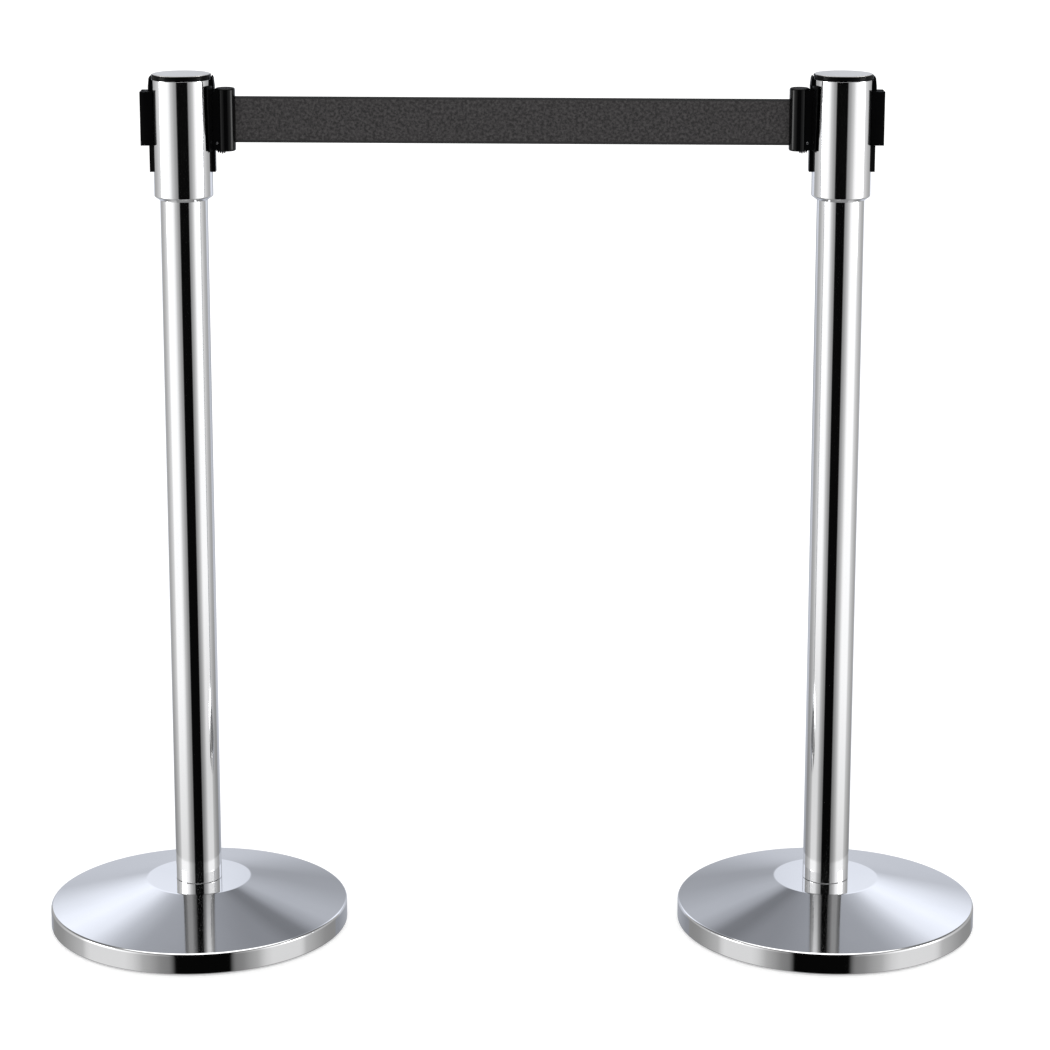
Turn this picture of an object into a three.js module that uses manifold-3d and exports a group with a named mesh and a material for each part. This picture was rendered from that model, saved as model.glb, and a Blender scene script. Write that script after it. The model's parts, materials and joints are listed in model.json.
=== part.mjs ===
// A retractable belt barrier: two polished posts on weighted round bases, joined by a woven belt.
// The left post's head holds the belt's spring reel. The right post's takes the clip on the belt's end.
// Millimetres, +Z up. The origin is on the floor, midway between the posts. +X runs from left to right.
// Each post is drawn about its own axis, with +X towards the other post, and the right one is turned round.
import * as THREE from "three";
import { mergeVertices } from "three/addons/utils/BufferGeometryUtils.js";
import Module from "manifold-3d";

const wasm = await Module();
wasm.setup();

// Overall sizes
const POST_SPACING = 701; // between the two post axes
const POST_HEIGHT = 950.1; // floor to the top of the cap disc
const CLEARANCE = 0.3; // gap between pieces that seat on each other
const OVERRUN = 1; // how far a cut runs past the faces that it opens

// Base
const BASE_RADIUS = 165;
const RIM_HEIGHT = 24.5; // floor to the foot of the cone
const RIM_ROLL = 3; // radius of the rolled edge between rim and cone
const PLATEAU_RADIUS = 57.8;
const PLATEAU_HEIGHT = 51.6;
const COVER_WALL = 1.2;
const COVER_LIFT = 1.5; // floor to the rim's lower edge
const HEM_WIDTH = 5; // the rim is turned in below the weight
const WEIGHT_PLATE = 9;
const WEIGHT_HUB_RADIUS = 42;
const WEIGHT_RIB_WIDTH = 8;
const WEIGHT_RIBS = 6;
const FLOOR_RING_WIDTH = 20;
const FLOOR_RING_HEIGHT = 2.7;
const BOLT_RADIUS = 5;
const BOLT_HEAD_RADIUS = 9.2;
const BOLT_HEAD_HEIGHT = 6.4;
const BOLT_THREAD_OVER_PLUG = 8; // end of the bolt above the plug in the tube's foot
const WASHER_RADIUS = 13;
const WASHER_THICKNESS = 2;
const RECESS_CLEARANCE = 2; // room round the washer in the weight's recess

// Tube and the plugs in its ends
const TUBE_RADIUS = 25.4;
const TUBE_WALL = 1.2;
const FOOT_PLUG_HEIGHT = 22;
const NECK_SPIGOT = 38; // length of the upper plug inside the tube
const NECK_FLANGE = 4.4; // thickness of its flange, on the tube's end
const NECK_WALL = 3;

// Head sleeve
const SLEEVE_RADIUS = 31.5;
const SLEEVE_WALL = 1.2;
const SLEEVE_LENGTH = 124.5; // straight part, from the cap to the corner of the chamfer
const SLEEVE_CHAMFER = 4.2; // height of the chamfered lip round the tube
const SLEEVE_EDGE = 4.8; // cap disc's top down to the sleeve's top edge
const TUBE_IN_SLEEVE = 17.5; // the tube's end above the corner of the chamfer

// Moulded core in the sleeve, with a slotted rail down each side
const CORE_WALL = 2;
const CORE_FLOOR = 3;
const RAIL_OUTER = 35;
const RAIL_HALF = 6;
const RAIL_LENGTH = 98.5; // from the sleeve's top edge down to the rail's foot
const RAIL_SHOULDER = 7; // height over which the rail slopes in, below the sleeve's top edge
const SHOULDER_TOP = 34.1; // reach of the slope's upper end
const RAIL_END = 1.5; // cap disc's top down to the rail's end, which stands up beside the cap
const RAIL_END_REACH = 32.9; // reach of the rail's end
const RAIL_END_SLOPE = 2.4; // height over which that end slopes in
const SLOT_MOUTH_HALF = 3; // the T-shaped slot in the rail's face, which takes a clip's tongue
const SLOT_HALF = 4.8;
const SLOT_LIP = 1.3;
const SLOT_DEPTH = 3.1;
const NECK_SCREW_PLACE = 18; // from the post's axis
const SPINDLE_BOSS_RADIUS = 6;
const SPINDLE_BOSS_HEIGHT = 6;

// Cap
const CAP_RING_HEIGHT = 4.6;
const CAP_SKIRT_DEPTH = 6;
const CAP_SKIRT_WALL = 1.6;
const CAP_RIM = 0.6; // width of the rim round the disc
const CAP_DISC_THICKNESS = 1;
const CAP_BOSS_DEPTH = 12; // boss that holds the spindle's upper end
const CAP_SCREW_BOSS_RADIUS = 3;
const CAP_SCREW_BOSS_DEPTH = 12;

// Small screws
const SCREW_RADIUS = 1.4;
const SCREW_HEAD_RADIUS = 2.8;
const SCREW_HEAD_HEIGHT = 1.6;
const SCREW_LENGTH = 9;

// Outer receiver, which takes the next belt's clip
const RECEIVER_OUTER = 43.5;
const RECEIVER_HALF = 11.6;
const RECEIVER_HEIGHT = 54.6;
const RECEIVER_OVER_BELT = 1.6; // its middle above the belt's middle
const RECEIVER_SLOT_FLOOR = 3;
const RECEIVER_SCREW_TIP = 2.4; // the screw's tip inside the bottom of the rail's slot

// Belt
const BELT_WIDTH = 48;
const BELT_THICKNESS = 0.5;
const BELT_LENGTH = 2000;
const BELT_BELOW_TOP = 49.1; // cap disc's top down to the middle of the belt at the outlet
const BELT_FALL = 3; // the belt's far end lies this much lower
const BELT_RESERVE = 80; // last turns that stay on the drum
const POST_GAP_CLOSED = 10; // between the base rims when the posts stand close together

// Outlet nose and belt clip, which share one outline
const BARREL_RADIUS = 10;
const BARREL_PLACE = 45.4;
const BARREL_HALF_HEIGHT = 31.9;
const WING_WALL = 2.5;
const WING_EDGE_TOP = 26;
const WING_EDGE_FOOT = 29.2;
const WING_TOP = 37.4; // above the belt's middle
const WING_FOOT = 30.3; // below the belt's middle
const WEB_HALF = 8.5;
const EDGE_ROUND = 2; // radius of the barrel's end edges
const BELT_SLOT_HALF = 1;
const BELT_SLOT_HALF_HEIGHT = 27;
const LOOP_BORE_RADIUS = 5.5;
const LOOP_PIN_RADIUS = 2.4;
const LOOP_PIN_END = 2.2; // how far the pin reaches past the loop bore at each end

// Catch in the foot of the nose and of the clip
const CATCH_HALF = 4.6;
const CATCH_HEIGHT = 2.6;
const CATCH_NIB_HALF = 1.9; // the nib that bears on the rail's face
const CATCH_NIB_HEIGHT = 2.2;
const CATCH_INNER = 37.2; // inner end of the catch's body
const CATCH_OUTER = 48.2;
const CATCH_TRAVEL = 2.5;
const CATCH_GRIP = 3.3; // the ridged grip below the barrel's foot
const CATCH_RIDGES = 5;
const CATCH_SPRING_RADIUS = 1;
const CATCH_SPRING_WALL = 1.2; // barrel wall that the spring pushes on

// Reel
const SPINDLE_RADIUS = 3;
const RUNNING_CLEARANCE = 0.1;
const DRUM_CORE_RADIUS = 8;
const DRUM_FLANGE_RADIUS = 21.5;
const DRUM_FLANGE = 1.5;
const DRUM_SIDE_GAP = 0.7; // between the belt's edges and the flanges
const DRUM_HUB_TOP = 3; // hub above the upper flange
const DRUM_HUB_RADIUS = 5.5;
const SPRING_CUP_DEPTH = 16.8;
const SPRING_CUP_WALL = 1.2;
const SPRING_STRIP_HEIGHT = 12;
const SPRING_STRIP = 0.4;
const SPRING_TURNS = 7;
const SPRING_INNER_RADIUS = 5;
const SPRING_COVER = 1.3;
const GUIDE_PIN_RADIUS = 1.5;
const GUIDE_PIN_PLACE = 25.2;
const GUIDE_PIN_OVER_BELT = 3; // end of each guide pin past the belt's edge

// Facets round a full turn
const BASE_FACETS = 36;
const POST_FACETS = 28;
const SMALL_FACETS = 8;
const BARREL_FACETS = 20;
const SPRING_STEPS = 12; // for one turn
const ARC_STEPS = 3; // for a rolled or rounded edge
const WING_STEPS = 8;
const HEX_SIDES = 6;
const MERGE_DISTANCE = 0.0001; // vertices closer than this are one

// Heights that follow from these
const coverUnder = PLATEAU_HEIGHT - COVER_WALL;
const weightFoot = COVER_LIFT + COVER_WALL + CLEARANCE;
const weightTop = coverUnder - CLEARANCE;
const recessTop = weightFoot + BOLT_HEAD_HEIGHT + WASHER_THICKNESS + RECESS_CLEARANCE;
const tubeFoot = PLATEAU_HEIGHT + CLEARANCE;
const sleeveTop = POST_HEIGHT - SLEEVE_EDGE - CLEARANCE;
const sleeveCorner = sleeveTop - SLEEVE_LENGTH;
const sleeveFoot = sleeveCorner - SLEEVE_CHAMFER;
const tubeTop = sleeveCorner + TUBE_IN_SLEEVE;
const neckFlangeTop = tubeTop + CLEARANCE + NECK_FLANGE;
const coreFoot = neckFlangeTop + CLEARANCE;
const coreInside = coreFoot + CORE_FLOOR;
const railFoot = sleeveTop - RAIL_LENGTH;
const railShoulder = sleeveTop - CLEARANCE - RAIL_SHOULDER;
const capFoot = sleeveTop + CLEARANCE;
const capTop = capFoot + CAP_RING_HEIGHT;
const capSeat = POST_HEIGHT - CAP_DISC_THICKNESS - CLEARANCE;
const coreTop = sleeveTop - CLEARANCE;
const capScrewSeat = capFoot + CLEARANCE;
const coreScrewTop = capFoot - CAP_SKIRT_DEPTH - CLEARANCE;
const coreScrewFoot = coreScrewTop - CAP_SCREW_BOSS_DEPTH;
const beltMiddle = POST_HEIGHT - BELT_BELOW_TOP;
const barrelFoot = beltMiddle - BARREL_HALF_HEIGHT;
const barrelTop = beltMiddle + BARREL_HALF_HEIGHT;
const webTop = barrelTop - EDGE_ROUND;
const slotFoot = barrelFoot - CLEARANCE;
const receiverMiddle = beltMiddle + RECEIVER_OVER_BELT;
const loopPinFoot = barrelFoot + CATCH_HEIGHT + CLEARANCE;
const loopPinTop = beltMiddle + BELT_SLOT_HALF_HEIGHT + LOOP_PIN_END;
const tongueFoot = barrelFoot + CATCH_NIB_HEIGHT + CLEARANCE;

// Radii and reaches that follow from them
const tubeInside = TUBE_RADIUS - TUBE_WALL;
const plugRadius = tubeInside - CLEARANCE;
const sleeveInside = SLEEVE_RADIUS - SLEEVE_WALL;
const coreRadius = sleeveInside - CLEARANCE;
const coreInsideRadius = coreRadius - CORE_WALL;
const saddleInside = SLEEVE_RADIUS + CLEARANCE;
const saddleOutside = saddleInside + WING_WALL;
const barrelReach = BARREL_PLACE + BARREL_RADIUS;
const receiverScrewSeat = RECEIVER_OUTER - SLOT_DEPTH - CLEARANCE - SCREW_HEAD_HEIGHT;
const capScrewPlace = DRUM_FLANGE_RADIUS + 2 * CLEARANCE + CAP_SCREW_BOSS_RADIUS;
const boltHole = BOLT_RADIUS + CLEARANCE;

// Belt lengths: what hangs free, what the clip and the head hold, and what is left on the drum
const beltFree = POST_SPACING - 2 * barrelReach;
const closedTravel = POST_SPACING - 2 * BASE_RADIUS - POST_GAP_CLOSED;
const tailLength = beltFree - closedTravel - 2 * OVERRUN;
const beltHeld = barrelReach - GUIDE_PIN_PLACE + BARREL_RADIUS + 2 * LOOP_PIN_RADIUS * Math.PI;
const beltOnDrum = BELT_LENGTH - beltFree - beltHeld;
const rollInside = DRUM_CORE_RADIUS + CLEARANCE;
const rollOutside = Math.sqrt(rollInside ** 2 + (beltOnDrum * BELT_THICKNESS) / Math.PI);

// The reel's heights
const beltHalf = BELT_WIDTH / 2;
const lowerFlangeTop = beltMiddle - beltHalf - DRUM_SIDE_GAP;
const lowerFlangeFoot = lowerFlangeTop - DRUM_FLANGE;
const upperFlangeFoot = beltMiddle + beltHalf + DRUM_SIDE_GAP;
const upperFlangeTop = upperFlangeFoot + DRUM_FLANGE;
const cupFoot = lowerFlangeFoot - SPRING_CUP_DEPTH;
const bossTop = coreInside + SPINDLE_BOSS_HEIGHT;

console.log("belt: " + beltFree.toFixed(0) + " mm free, " + beltOnDrum.toFixed(0) + " mm on the drum");
const payoutEnd = beltOnDrum - BELT_RESERVE;
console.log("pay-out range: " + -closedTravel.toFixed(0) + " to " + payoutEnd.toFixed(0) + " mm");
console.log("roll radius: " + rollOutside.toFixed(2) + " mm");

// Finishes
function finish(color, roughness, metalness) {
  return new THREE.MeshStandardMaterial({ color, roughness, metalness });
}

const mirrorSteel = () => finish(0xd6d7da, 0.08, 1);
const satinSteel = () => finish(0xc3c5c9, 0.35, 1);
const zincSteel = () => finish(0x9c9ea0, 0.45, 1);
const springSteel = () => finish(0x5c6068, 0.4, 1);
const castIron = () => finish(0x2b2b2c, 0.7, 0.6);
const blackPlastic = () => finish(0x0c0c0d, 0.38, 0);
const greyPlastic = () => finish(0x54565a, 0.5, 0);
const blackRubber = () => finish(0x141414, 0.85, 0);
const wovenBelt = () => finish(0x3b393a, 0.85, 0);

// A closed three.js geometry as a manifold solid, with its doubled vertices merged.
function solid(geometry) {
  const plain = new THREE.BufferGeometry();
  const source = geometry.index ? geometry.toNonIndexed() : geometry;
  plain.setAttribute("position", source.getAttribute("position"));
  const merged = mergeVertices(plain, MERGE_DISTANCE);
  const index = merged.index.array;
  const kept = [];
  for (let i = 0; i < index.length; i += 3) {
    const [a, b, c] = [index[i], index[i + 1], index[i + 2]];
    if (a !== b && b !== c && a !== c) kept.push(a, b, c);
  }
  const mesh = new wasm.Mesh({
    numProp: 3,
    vertProperties: merged.attributes.position.array,
    triVerts: new Uint32Array(kept),
  });
  return new wasm.Manifold(mesh);
}

// A manifold solid as a three.js geometry.
function geometryOf(body) {
  const mesh = body.getMesh();
  const geometry = new THREE.BufferGeometry();
  geometry.setAttribute("position", new THREE.BufferAttribute(new Float32Array(mesh.vertProperties), 3));
  geometry.setIndex(new THREE.BufferAttribute(new Uint32Array(mesh.triVerts), 1));
  const flat = geometry.toNonIndexed();
  flat.computeVertexNormals();
  return flat;
}

function signedArea(points) {
  return points.reduce((sum, [x, y], i) => {
    const [nextX, nextY] = points[(i + 1) % points.length];
    return sum + (x * nextY - nextX * y) / 2;
  }, 0);
}

// Points of an arc about (x, y), angles in radians.
function arc(x, y, radius, from, to, steps) {
  return Array.from({ length: steps + 1 }, (_, i) => {
    const angle = from + ((to - from) * i) / steps;
    return [x + radius * Math.cos(angle), y + radius * Math.sin(angle)];
  });
}

// A profile of [radius, height] points turned about the Z axis.
function revolve(profile, facets) {
  const outward = signedArea(profile) > 0 ? profile : [...profile].reverse();
  // A profile with its side on the axis starts and ends there, and any other one closes on itself.
  const start = outward.findIndex(([radius], i) => radius === 0 && outward.at(i - 1)[0] === 0);
  const fromAxis = [...outward.slice(start), ...outward.slice(0, start)];
  const ordered = start < 0 ? [...outward, outward[0]] : fromAxis;
  const points = ordered.map(([radius, height]) => new THREE.Vector2(radius, height));
  return solid(new THREE.LatheGeometry(points, facets).rotateX(Math.PI / 2));
}

// A plan outline of [x, y] points carried up from one height to another.
function prism(outline, foot, top, holes = []) {
  const shape = new THREE.Shape(outline.map(([x, y]) => new THREE.Vector2(x, y)));
  holes.forEach((hole) => shape.holes.push(new THREE.Path(hole.map(([x, y]) => new THREE.Vector2(x, y)))));
  const geometry = new THREE.ExtrudeGeometry(shape, { depth: top - foot, bevelEnabled: false });
  return solid(geometry.translate(0, 0, foot));
}

// A side outline of [x, z] points carried from one y to another.
function sidePrism(outline, front, back) {
  const shape = new THREE.Shape(outline.map(([x, z]) => new THREE.Vector2(x, z)));
  const geometry = new THREE.ExtrudeGeometry(shape, { depth: back - front, bevelEnabled: false });
  return solid(geometry.rotateX(Math.PI / 2).translate(0, back, 0));
}

function box(x0, x1, y0, y1, z0, z1) {
  const geometry = new THREE.BoxGeometry(x1 - x0, y1 - y0, z1 - z0);
  return solid(geometry.translate((x0 + x1) / 2, (y0 + y1) / 2, (z0 + z1) / 2));
}

// An upright cylinder at a place in plan.
function pillar(x, y, radius, foot, top, facets = SMALL_FACETS) {
  return prism(arc(x, y, radius, 0, 2 * Math.PI, facets).slice(0, -1), foot, top);
}

// A cylinder along X.
function bar(x0, x1, y, z, radius, facets = SMALL_FACETS) {
  const geometry = new THREE.CylinderGeometry(radius, radius, x1 - x0, facets);
  return solid(geometry.rotateZ(-Math.PI / 2).translate((x0 + x1) / 2, y, z));
}

function join(...bodies) {
  return bodies.reduce((whole, body) => whole.add(body));
}

function cut(body, ...tools) {
  return tools.reduce((rest, tool) => rest.subtract(tool), body);
}

function piece(name, body, material) {
  const mesh = new THREE.Mesh(geometryOf(body), material);
  mesh.name = name;
  return mesh;
}

// Pressed cover: plateau, cone, rolled edge, upright rim and a hem turned in below the weight.
function baseCover() {
  const slope = Math.atan2(PLATEAU_HEIGHT - RIM_HEIGHT, BASE_RADIUS - PLATEAU_RADIUS);
  const rollPlace = BASE_RADIUS - RIM_ROLL;
  const rollHeight = RIM_HEIGHT - RIM_ROLL;
  const inner = RIM_ROLL - COVER_WALL;
  const outside = [
    [boltHole, PLATEAU_HEIGHT],
    [PLATEAU_RADIUS, PLATEAU_HEIGHT],
    ...arc(rollPlace, rollHeight, RIM_ROLL, Math.PI / 2 - slope, 0, ARC_STEPS),
    [BASE_RADIUS, COVER_LIFT],
    [BASE_RADIUS - HEM_WIDTH, COVER_LIFT],
  ];
  const inside = [
    [BASE_RADIUS - HEM_WIDTH, COVER_LIFT + COVER_WALL],
    [BASE_RADIUS - COVER_WALL, COVER_LIFT + COVER_WALL],
    ...arc(rollPlace, rollHeight, inner, 0, Math.PI / 2 - slope, ARC_STEPS - 1),
    [PLATEAU_RADIUS - COVER_WALL * Math.tan(slope / 2), coverUnder],
    [boltHole, coverUnder],
  ];
  return revolve([...outside, ...inside], BASE_FACETS);
}

// Height of the cover's underside at a radius out on the cone.
function underCone(radius) {
  const slope = (PLATEAU_HEIGHT - RIM_HEIGHT) / (BASE_RADIUS - PLATEAU_RADIUS);
  return coverUnder - CLEARANCE - COVER_WALL - slope * (radius - PLATEAU_RADIUS);
}

// Cast weight: a plate with a hub that carries the plateau, and ribs that carry the cone.
function baseWeight() {
  const edge = BASE_RADIUS - COVER_WALL - CLEARANCE;
  const plateTop = weightFoot + WEIGHT_PLATE;
  const recess = WASHER_RADIUS + RECESS_CLEARANCE;
  const disc = revolve(
    [
      [recess, weightFoot],
      [edge, weightFoot],
      [edge, plateTop],
      [WEIGHT_HUB_RADIUS, plateTop],
      [WEIGHT_HUB_RADIUS, weightTop],
      [boltHole, weightTop],
      [boltHole, recessTop],
      [recess, recessTop],
    ],
    BASE_FACETS,
  );
  const ribStart = WEIGHT_HUB_RADIUS - WEIGHT_RIB_WIDTH;
  const ribEnd = edge - RIM_ROLL;
  const rib = sidePrism(
    [
      [ribStart, plateTop - OVERRUN],
      [ribEnd, plateTop - OVERRUN],
      [ribEnd, underCone(ribEnd)],
      [PLATEAU_RADIUS, underCone(PLATEAU_RADIUS)],
      [ribStart, underCone(PLATEAU_RADIUS)],
    ],
    -WEIGHT_RIB_WIDTH / 2,
    WEIGHT_RIB_WIDTH / 2,
  );
  const ribs = Array.from({ length: WEIGHT_RIBS }, (_, i) => rib.rotate([0, 0, (360 / WEIGHT_RIBS) * i]));
  return join(disc, ...ribs);
}

function floorRing() {
  const outer = BASE_RADIUS - HEM_WIDTH - FLOOR_RING_HEIGHT;
  const inner = outer - FLOOR_RING_WIDTH;
  return revolve(
    [
      [inner, 0],
      [outer, 0],
      [outer, FLOOR_RING_HEIGHT],
      [inner, FLOOR_RING_HEIGHT],
    ],
    BASE_FACETS,
  );
}

// Hexagon bolt from under the weight, up through the cover, into the plug in the tube's foot.
function baseBolt() {
  const headTop = recessTop - CLEARANCE - WASHER_THICKNESS - CLEARANCE;
  const head = pillar(0, 0, BOLT_HEAD_RADIUS, headTop - BOLT_HEAD_HEIGHT, headTop, HEX_SIDES);
  const end = tubeFoot + FOOT_PLUG_HEIGHT + BOLT_THREAD_OVER_PLUG;
  return join(head, pillar(0, 0, BOLT_RADIUS, headTop - OVERRUN, end));
}

function baseWasher() {
  const top = recessTop - CLEARANCE;
  return revolve(
    [
      [boltHole, top - WASHER_THICKNESS],
      [WASHER_RADIUS, top - WASHER_THICKNESS],
      [WASHER_RADIUS, top],
      [boltHole, top],
    ],
    2 * SMALL_FACETS,
  );
}

function footPlug() {
  return revolve(
    [
      [boltHole, tubeFoot],
      [plugRadius, tubeFoot],
      [plugRadius, tubeFoot + FOOT_PLUG_HEIGHT],
      [boltHole, tubeFoot + FOOT_PLUG_HEIGHT],
    ],
    POST_FACETS,
  );
}

function postTube() {
  return revolve(
    [
      [tubeInside, tubeFoot],
      [TUBE_RADIUS, tubeFoot],
      [TUBE_RADIUS, tubeTop],
      [tubeInside, tubeTop],
    ],
    POST_FACETS,
  );
}

// Adapter: a spigot down into the tube and a flange that fills the sleeve and carries the core.
function neckPlug() {
  const under = tubeTop + CLEARANCE;
  const body = revolve(
    [
      [plugRadius - NECK_WALL, tubeTop - NECK_SPIGOT],
      [plugRadius, tubeTop - NECK_SPIGOT],
      [plugRadius, under],
      [coreRadius, under],
      [coreRadius, neckFlangeTop],
      [boltHole, neckFlangeTop],
      [boltHole, under],
      [plugRadius - NECK_WALL, under],
    ],
    POST_FACETS,
  );
  return cut(body, ...neckScrewHoles());
}

function neckScrewHoles() {
  const hole = SCREW_RADIUS + CLEARANCE;
  return [-NECK_SCREW_PLACE, NECK_SCREW_PLACE].map((y) =>
    pillar(0, y, hole, tubeTop - OVERRUN, coreInside + OVERRUN),
  );
}

function uprightScrew(x, y, seat) {
  const head = pillar(x, y, SCREW_HEAD_RADIUS, seat, seat + SCREW_HEAD_HEIGHT);
  return join(head, pillar(x, y, SCREW_RADIUS, seat - SCREW_LENGTH, seat + SCREW_HEAD_HEIGHT / 2));
}

// Polished sleeve with its foot drawn in to the tube, and a slot down each side for the core's rails.
function headSleeve() {
  const lip = TUBE_RADIUS + CLEARANCE;
  const body = revolve(
    [
      [lip, sleeveFoot],
      [SLEEVE_RADIUS, sleeveCorner],
      [SLEEVE_RADIUS, sleeveTop],
      [sleeveInside, sleeveTop],
      [sleeveInside, sleeveCorner + SLEEVE_WALL / 2],
      [lip, sleeveFoot + SLEEVE_WALL],
    ],
    POST_FACETS,
  );
  const half = RAIL_HALF + CLEARANCE;
  const reach = SLEEVE_RADIUS + OVERRUN;
  return cut(
    body,
    box(coreInsideRadius, reach, -half, half, railFoot - CLEARANCE, sleeveTop + OVERRUN),
    box(-reach, -coreInsideRadius, -half, half, railFoot - CLEARANCE, sleeveTop + OVERRUN),
  );
}

// A T-shaped slot in a face at the given reach, from one height to another.
function teeSlot(face, foot, top) {
  return join(
    box(face - SLOT_DEPTH, face - SLOT_LIP, -SLOT_HALF, SLOT_HALF, foot, top),
    box(face - SLOT_DEPTH, face + OVERRUN, -SLOT_MOUTH_HALF, SLOT_MOUTH_HALF, foot, top),
  );
}

// The tongue that slides in such a slot, on the back of what hangs on the rail.
function tongue(foot, top) {
  const headFrom = RAIL_OUTER - SLOT_DEPTH + CLEARANCE;
  const headTo = RAIL_OUTER - SLOT_LIP - CLEARANCE;
  const headHalf = SLOT_HALF - CLEARANCE;
  const neckHalf = SLOT_MOUTH_HALF - CLEARANCE;
  return join(
    box(headFrom, headTo, -headHalf, headHalf, foot, top),
    box(headFrom, RAIL_OUTER + OVERRUN, -neckHalf, neckHalf, foot, top),
  );
}

// One rail on the side towards +X: it stands out through the sleeve, and its end stands up beside the
// cap as two prongs, so that a tongue goes into its slot from above.
function rail() {
  const root = coreRadius - CORE_WALL / 2;
  const slotBottom = RAIL_OUTER - SLOT_DEPTH;
  const end = POST_HEIGHT - RAIL_END;
  const side = [
    [root, railFoot],
    [RAIL_OUTER, railFoot],
    [RAIL_OUTER, railShoulder],
    [SHOULDER_TOP, end - RAIL_END_SLOPE],
    [RAIL_END_REACH, end],
    [slotBottom, end],
    [slotBottom, coreTop],
    [root, coreTop],
  ];
  return cut(sidePrism(side, -RAIL_HALF, RAIL_HALF), teeSlot(RAIL_OUTER, slotFoot, end + OVERRUN));
}

// The opening that the belt runs through, between two reaches from the post's axis.
function beltSlot(from, to) {
  const [foot, top] = [beltMiddle - BELT_SLOT_HALF_HEIGHT, beltMiddle + BELT_SLOT_HALF_HEIGHT];
  return box(from, to, -BELT_SLOT_HALF, BELT_SLOT_HALF, foot, top);
}

// Moulded bucket with a rail down each side, a seat for the spindle and bosses for the cap's screws.
function headCore(holdsReel) {
  const bucket = revolve(
    [
      [0, coreFoot],
      [coreRadius, coreFoot],
      [coreRadius, coreTop],
      [coreInsideRadius, coreTop],
      [coreInsideRadius, coreInside],
      [0, coreInside],
    ],
    POST_FACETS,
  );
  const [under, over] = [coreInside - OVERRUN, bossTop + OVERRUN];
  const boss = pillar(0, 0, SPINDLE_BOSS_RADIUS, under, bossTop, 2 * SMALL_FACETS);
  const seat = pillar(0, 0, SPINDLE_RADIUS + CLEARANCE, under, over, 2 * SMALL_FACETS);
  const places = [-capScrewPlace, capScrewPlace];
  const screwBosses = places.map((y) => pillar(0, y, CAP_SCREW_BOSS_RADIUS, coreScrewFoot, coreScrewTop));
  const bridges = places.map((y) => {
    const wall = Math.sign(y) * (coreInsideRadius + CORE_WALL / 2);
    const half = CAP_SCREW_BOSS_RADIUS / 2;
    return box(-half, half, Math.min(y, wall), Math.max(y, wall), coreScrewFoot, coreScrewTop);
  });
  const screwHoles = places.map((y) =>
    pillar(0, y, SCREW_RADIUS + CLEARANCE, coreScrewFoot + OVERRUN, coreScrewTop + OVERRUN),
  );
  const outerScrewHole = receiverScrewHole().rotate([0, 0, 180]);
  const whole = join(bucket, boss, rail(), rail().rotate([0, 0, 180]), ...screwBosses, ...bridges);
  const opened = cut(whole, seat, ...screwHoles, ...neckScrewHoles(), outerScrewHole);
  return holdsReel ? cut(opened, beltSlot(coreInsideRadius - OVERRUN, RAIL_OUTER + OVERRUN)) : opened;
}

// Black cap: a ring that shows above the sleeve, a skirt inside the core and a seat for the disc.
function capRing() {
  const skirt = coreInsideRadius - CLEARANCE;
  const recess = SLEEVE_RADIUS - CAP_RIM;
  const body = revolve(
    [
      [0, capFoot - CAP_SKIRT_WALL],
      [skirt - CAP_SKIRT_WALL, capFoot - CAP_SKIRT_WALL],
      [skirt - CAP_SKIRT_WALL, capFoot - CAP_SKIRT_DEPTH],
      [skirt, capFoot - CAP_SKIRT_DEPTH],
      [skirt, capFoot],
      [SLEEVE_RADIUS, capFoot],
      [SLEEVE_RADIUS, capTop],
      [recess, capTop],
      [recess, capSeat],
      [0, capSeat],
    ],
    POST_FACETS,
  );
  const bossFoot = capFoot - CAP_BOSS_DEPTH;
  const seatTop = capFoot - CAP_SKIRT_WALL;
  const boss = pillar(0, 0, SPINDLE_BOSS_RADIUS, bossFoot, capFoot, 2 * SMALL_FACETS);
  const seat = pillar(0, 0, SPINDLE_RADIUS + CLEARANCE, bossFoot - OVERRUN, seatTop, 2 * SMALL_FACETS);
  const places = [-capScrewPlace, capScrewPlace];
  const within = pillar(0, 0, skirt, capFoot - CAP_SKIRT_DEPTH, capFoot, POST_FACETS);
  const posts = places.map((y) =>
    pillar(0, y, CAP_SCREW_BOSS_RADIUS, capFoot - CAP_SKIRT_DEPTH, capFoot).intersect(within),
  );
  const holes = places.map((y) => pillar(0, y, SCREW_RADIUS + CLEARANCE, coreScrewTop, POST_HEIGHT));
  const headSeat = capScrewSeat - CLEARANCE;
  const sinks = places.map((y) => pillar(0, y, SCREW_HEAD_RADIUS + CLEARANCE, headSeat, POST_HEIGHT));
  return cut(join(body, boss, ...posts), seat, ...holes, ...sinks);
}

function capDisc() {
  const radius = SLEEVE_RADIUS - CAP_RIM - CLEARANCE;
  const foot = capSeat + CLEARANCE;
  const edge = CAP_DISC_THICKNESS / 4;
  return revolve(
    [
      [0, foot],
      [radius, foot],
      [radius, POST_HEIGHT - edge],
      [radius - edge, POST_HEIGHT],
      [0, POST_HEIGHT],
    ],
    POST_FACETS,
  );
}

// Room for a rail in the back of what hangs on it.
function railRoom(foot, top) {
  return box(0, RAIL_OUTER + CLEARANCE, -RAIL_HALF - CLEARANCE, RAIL_HALF + CLEARANCE, foot, top);
}

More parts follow.
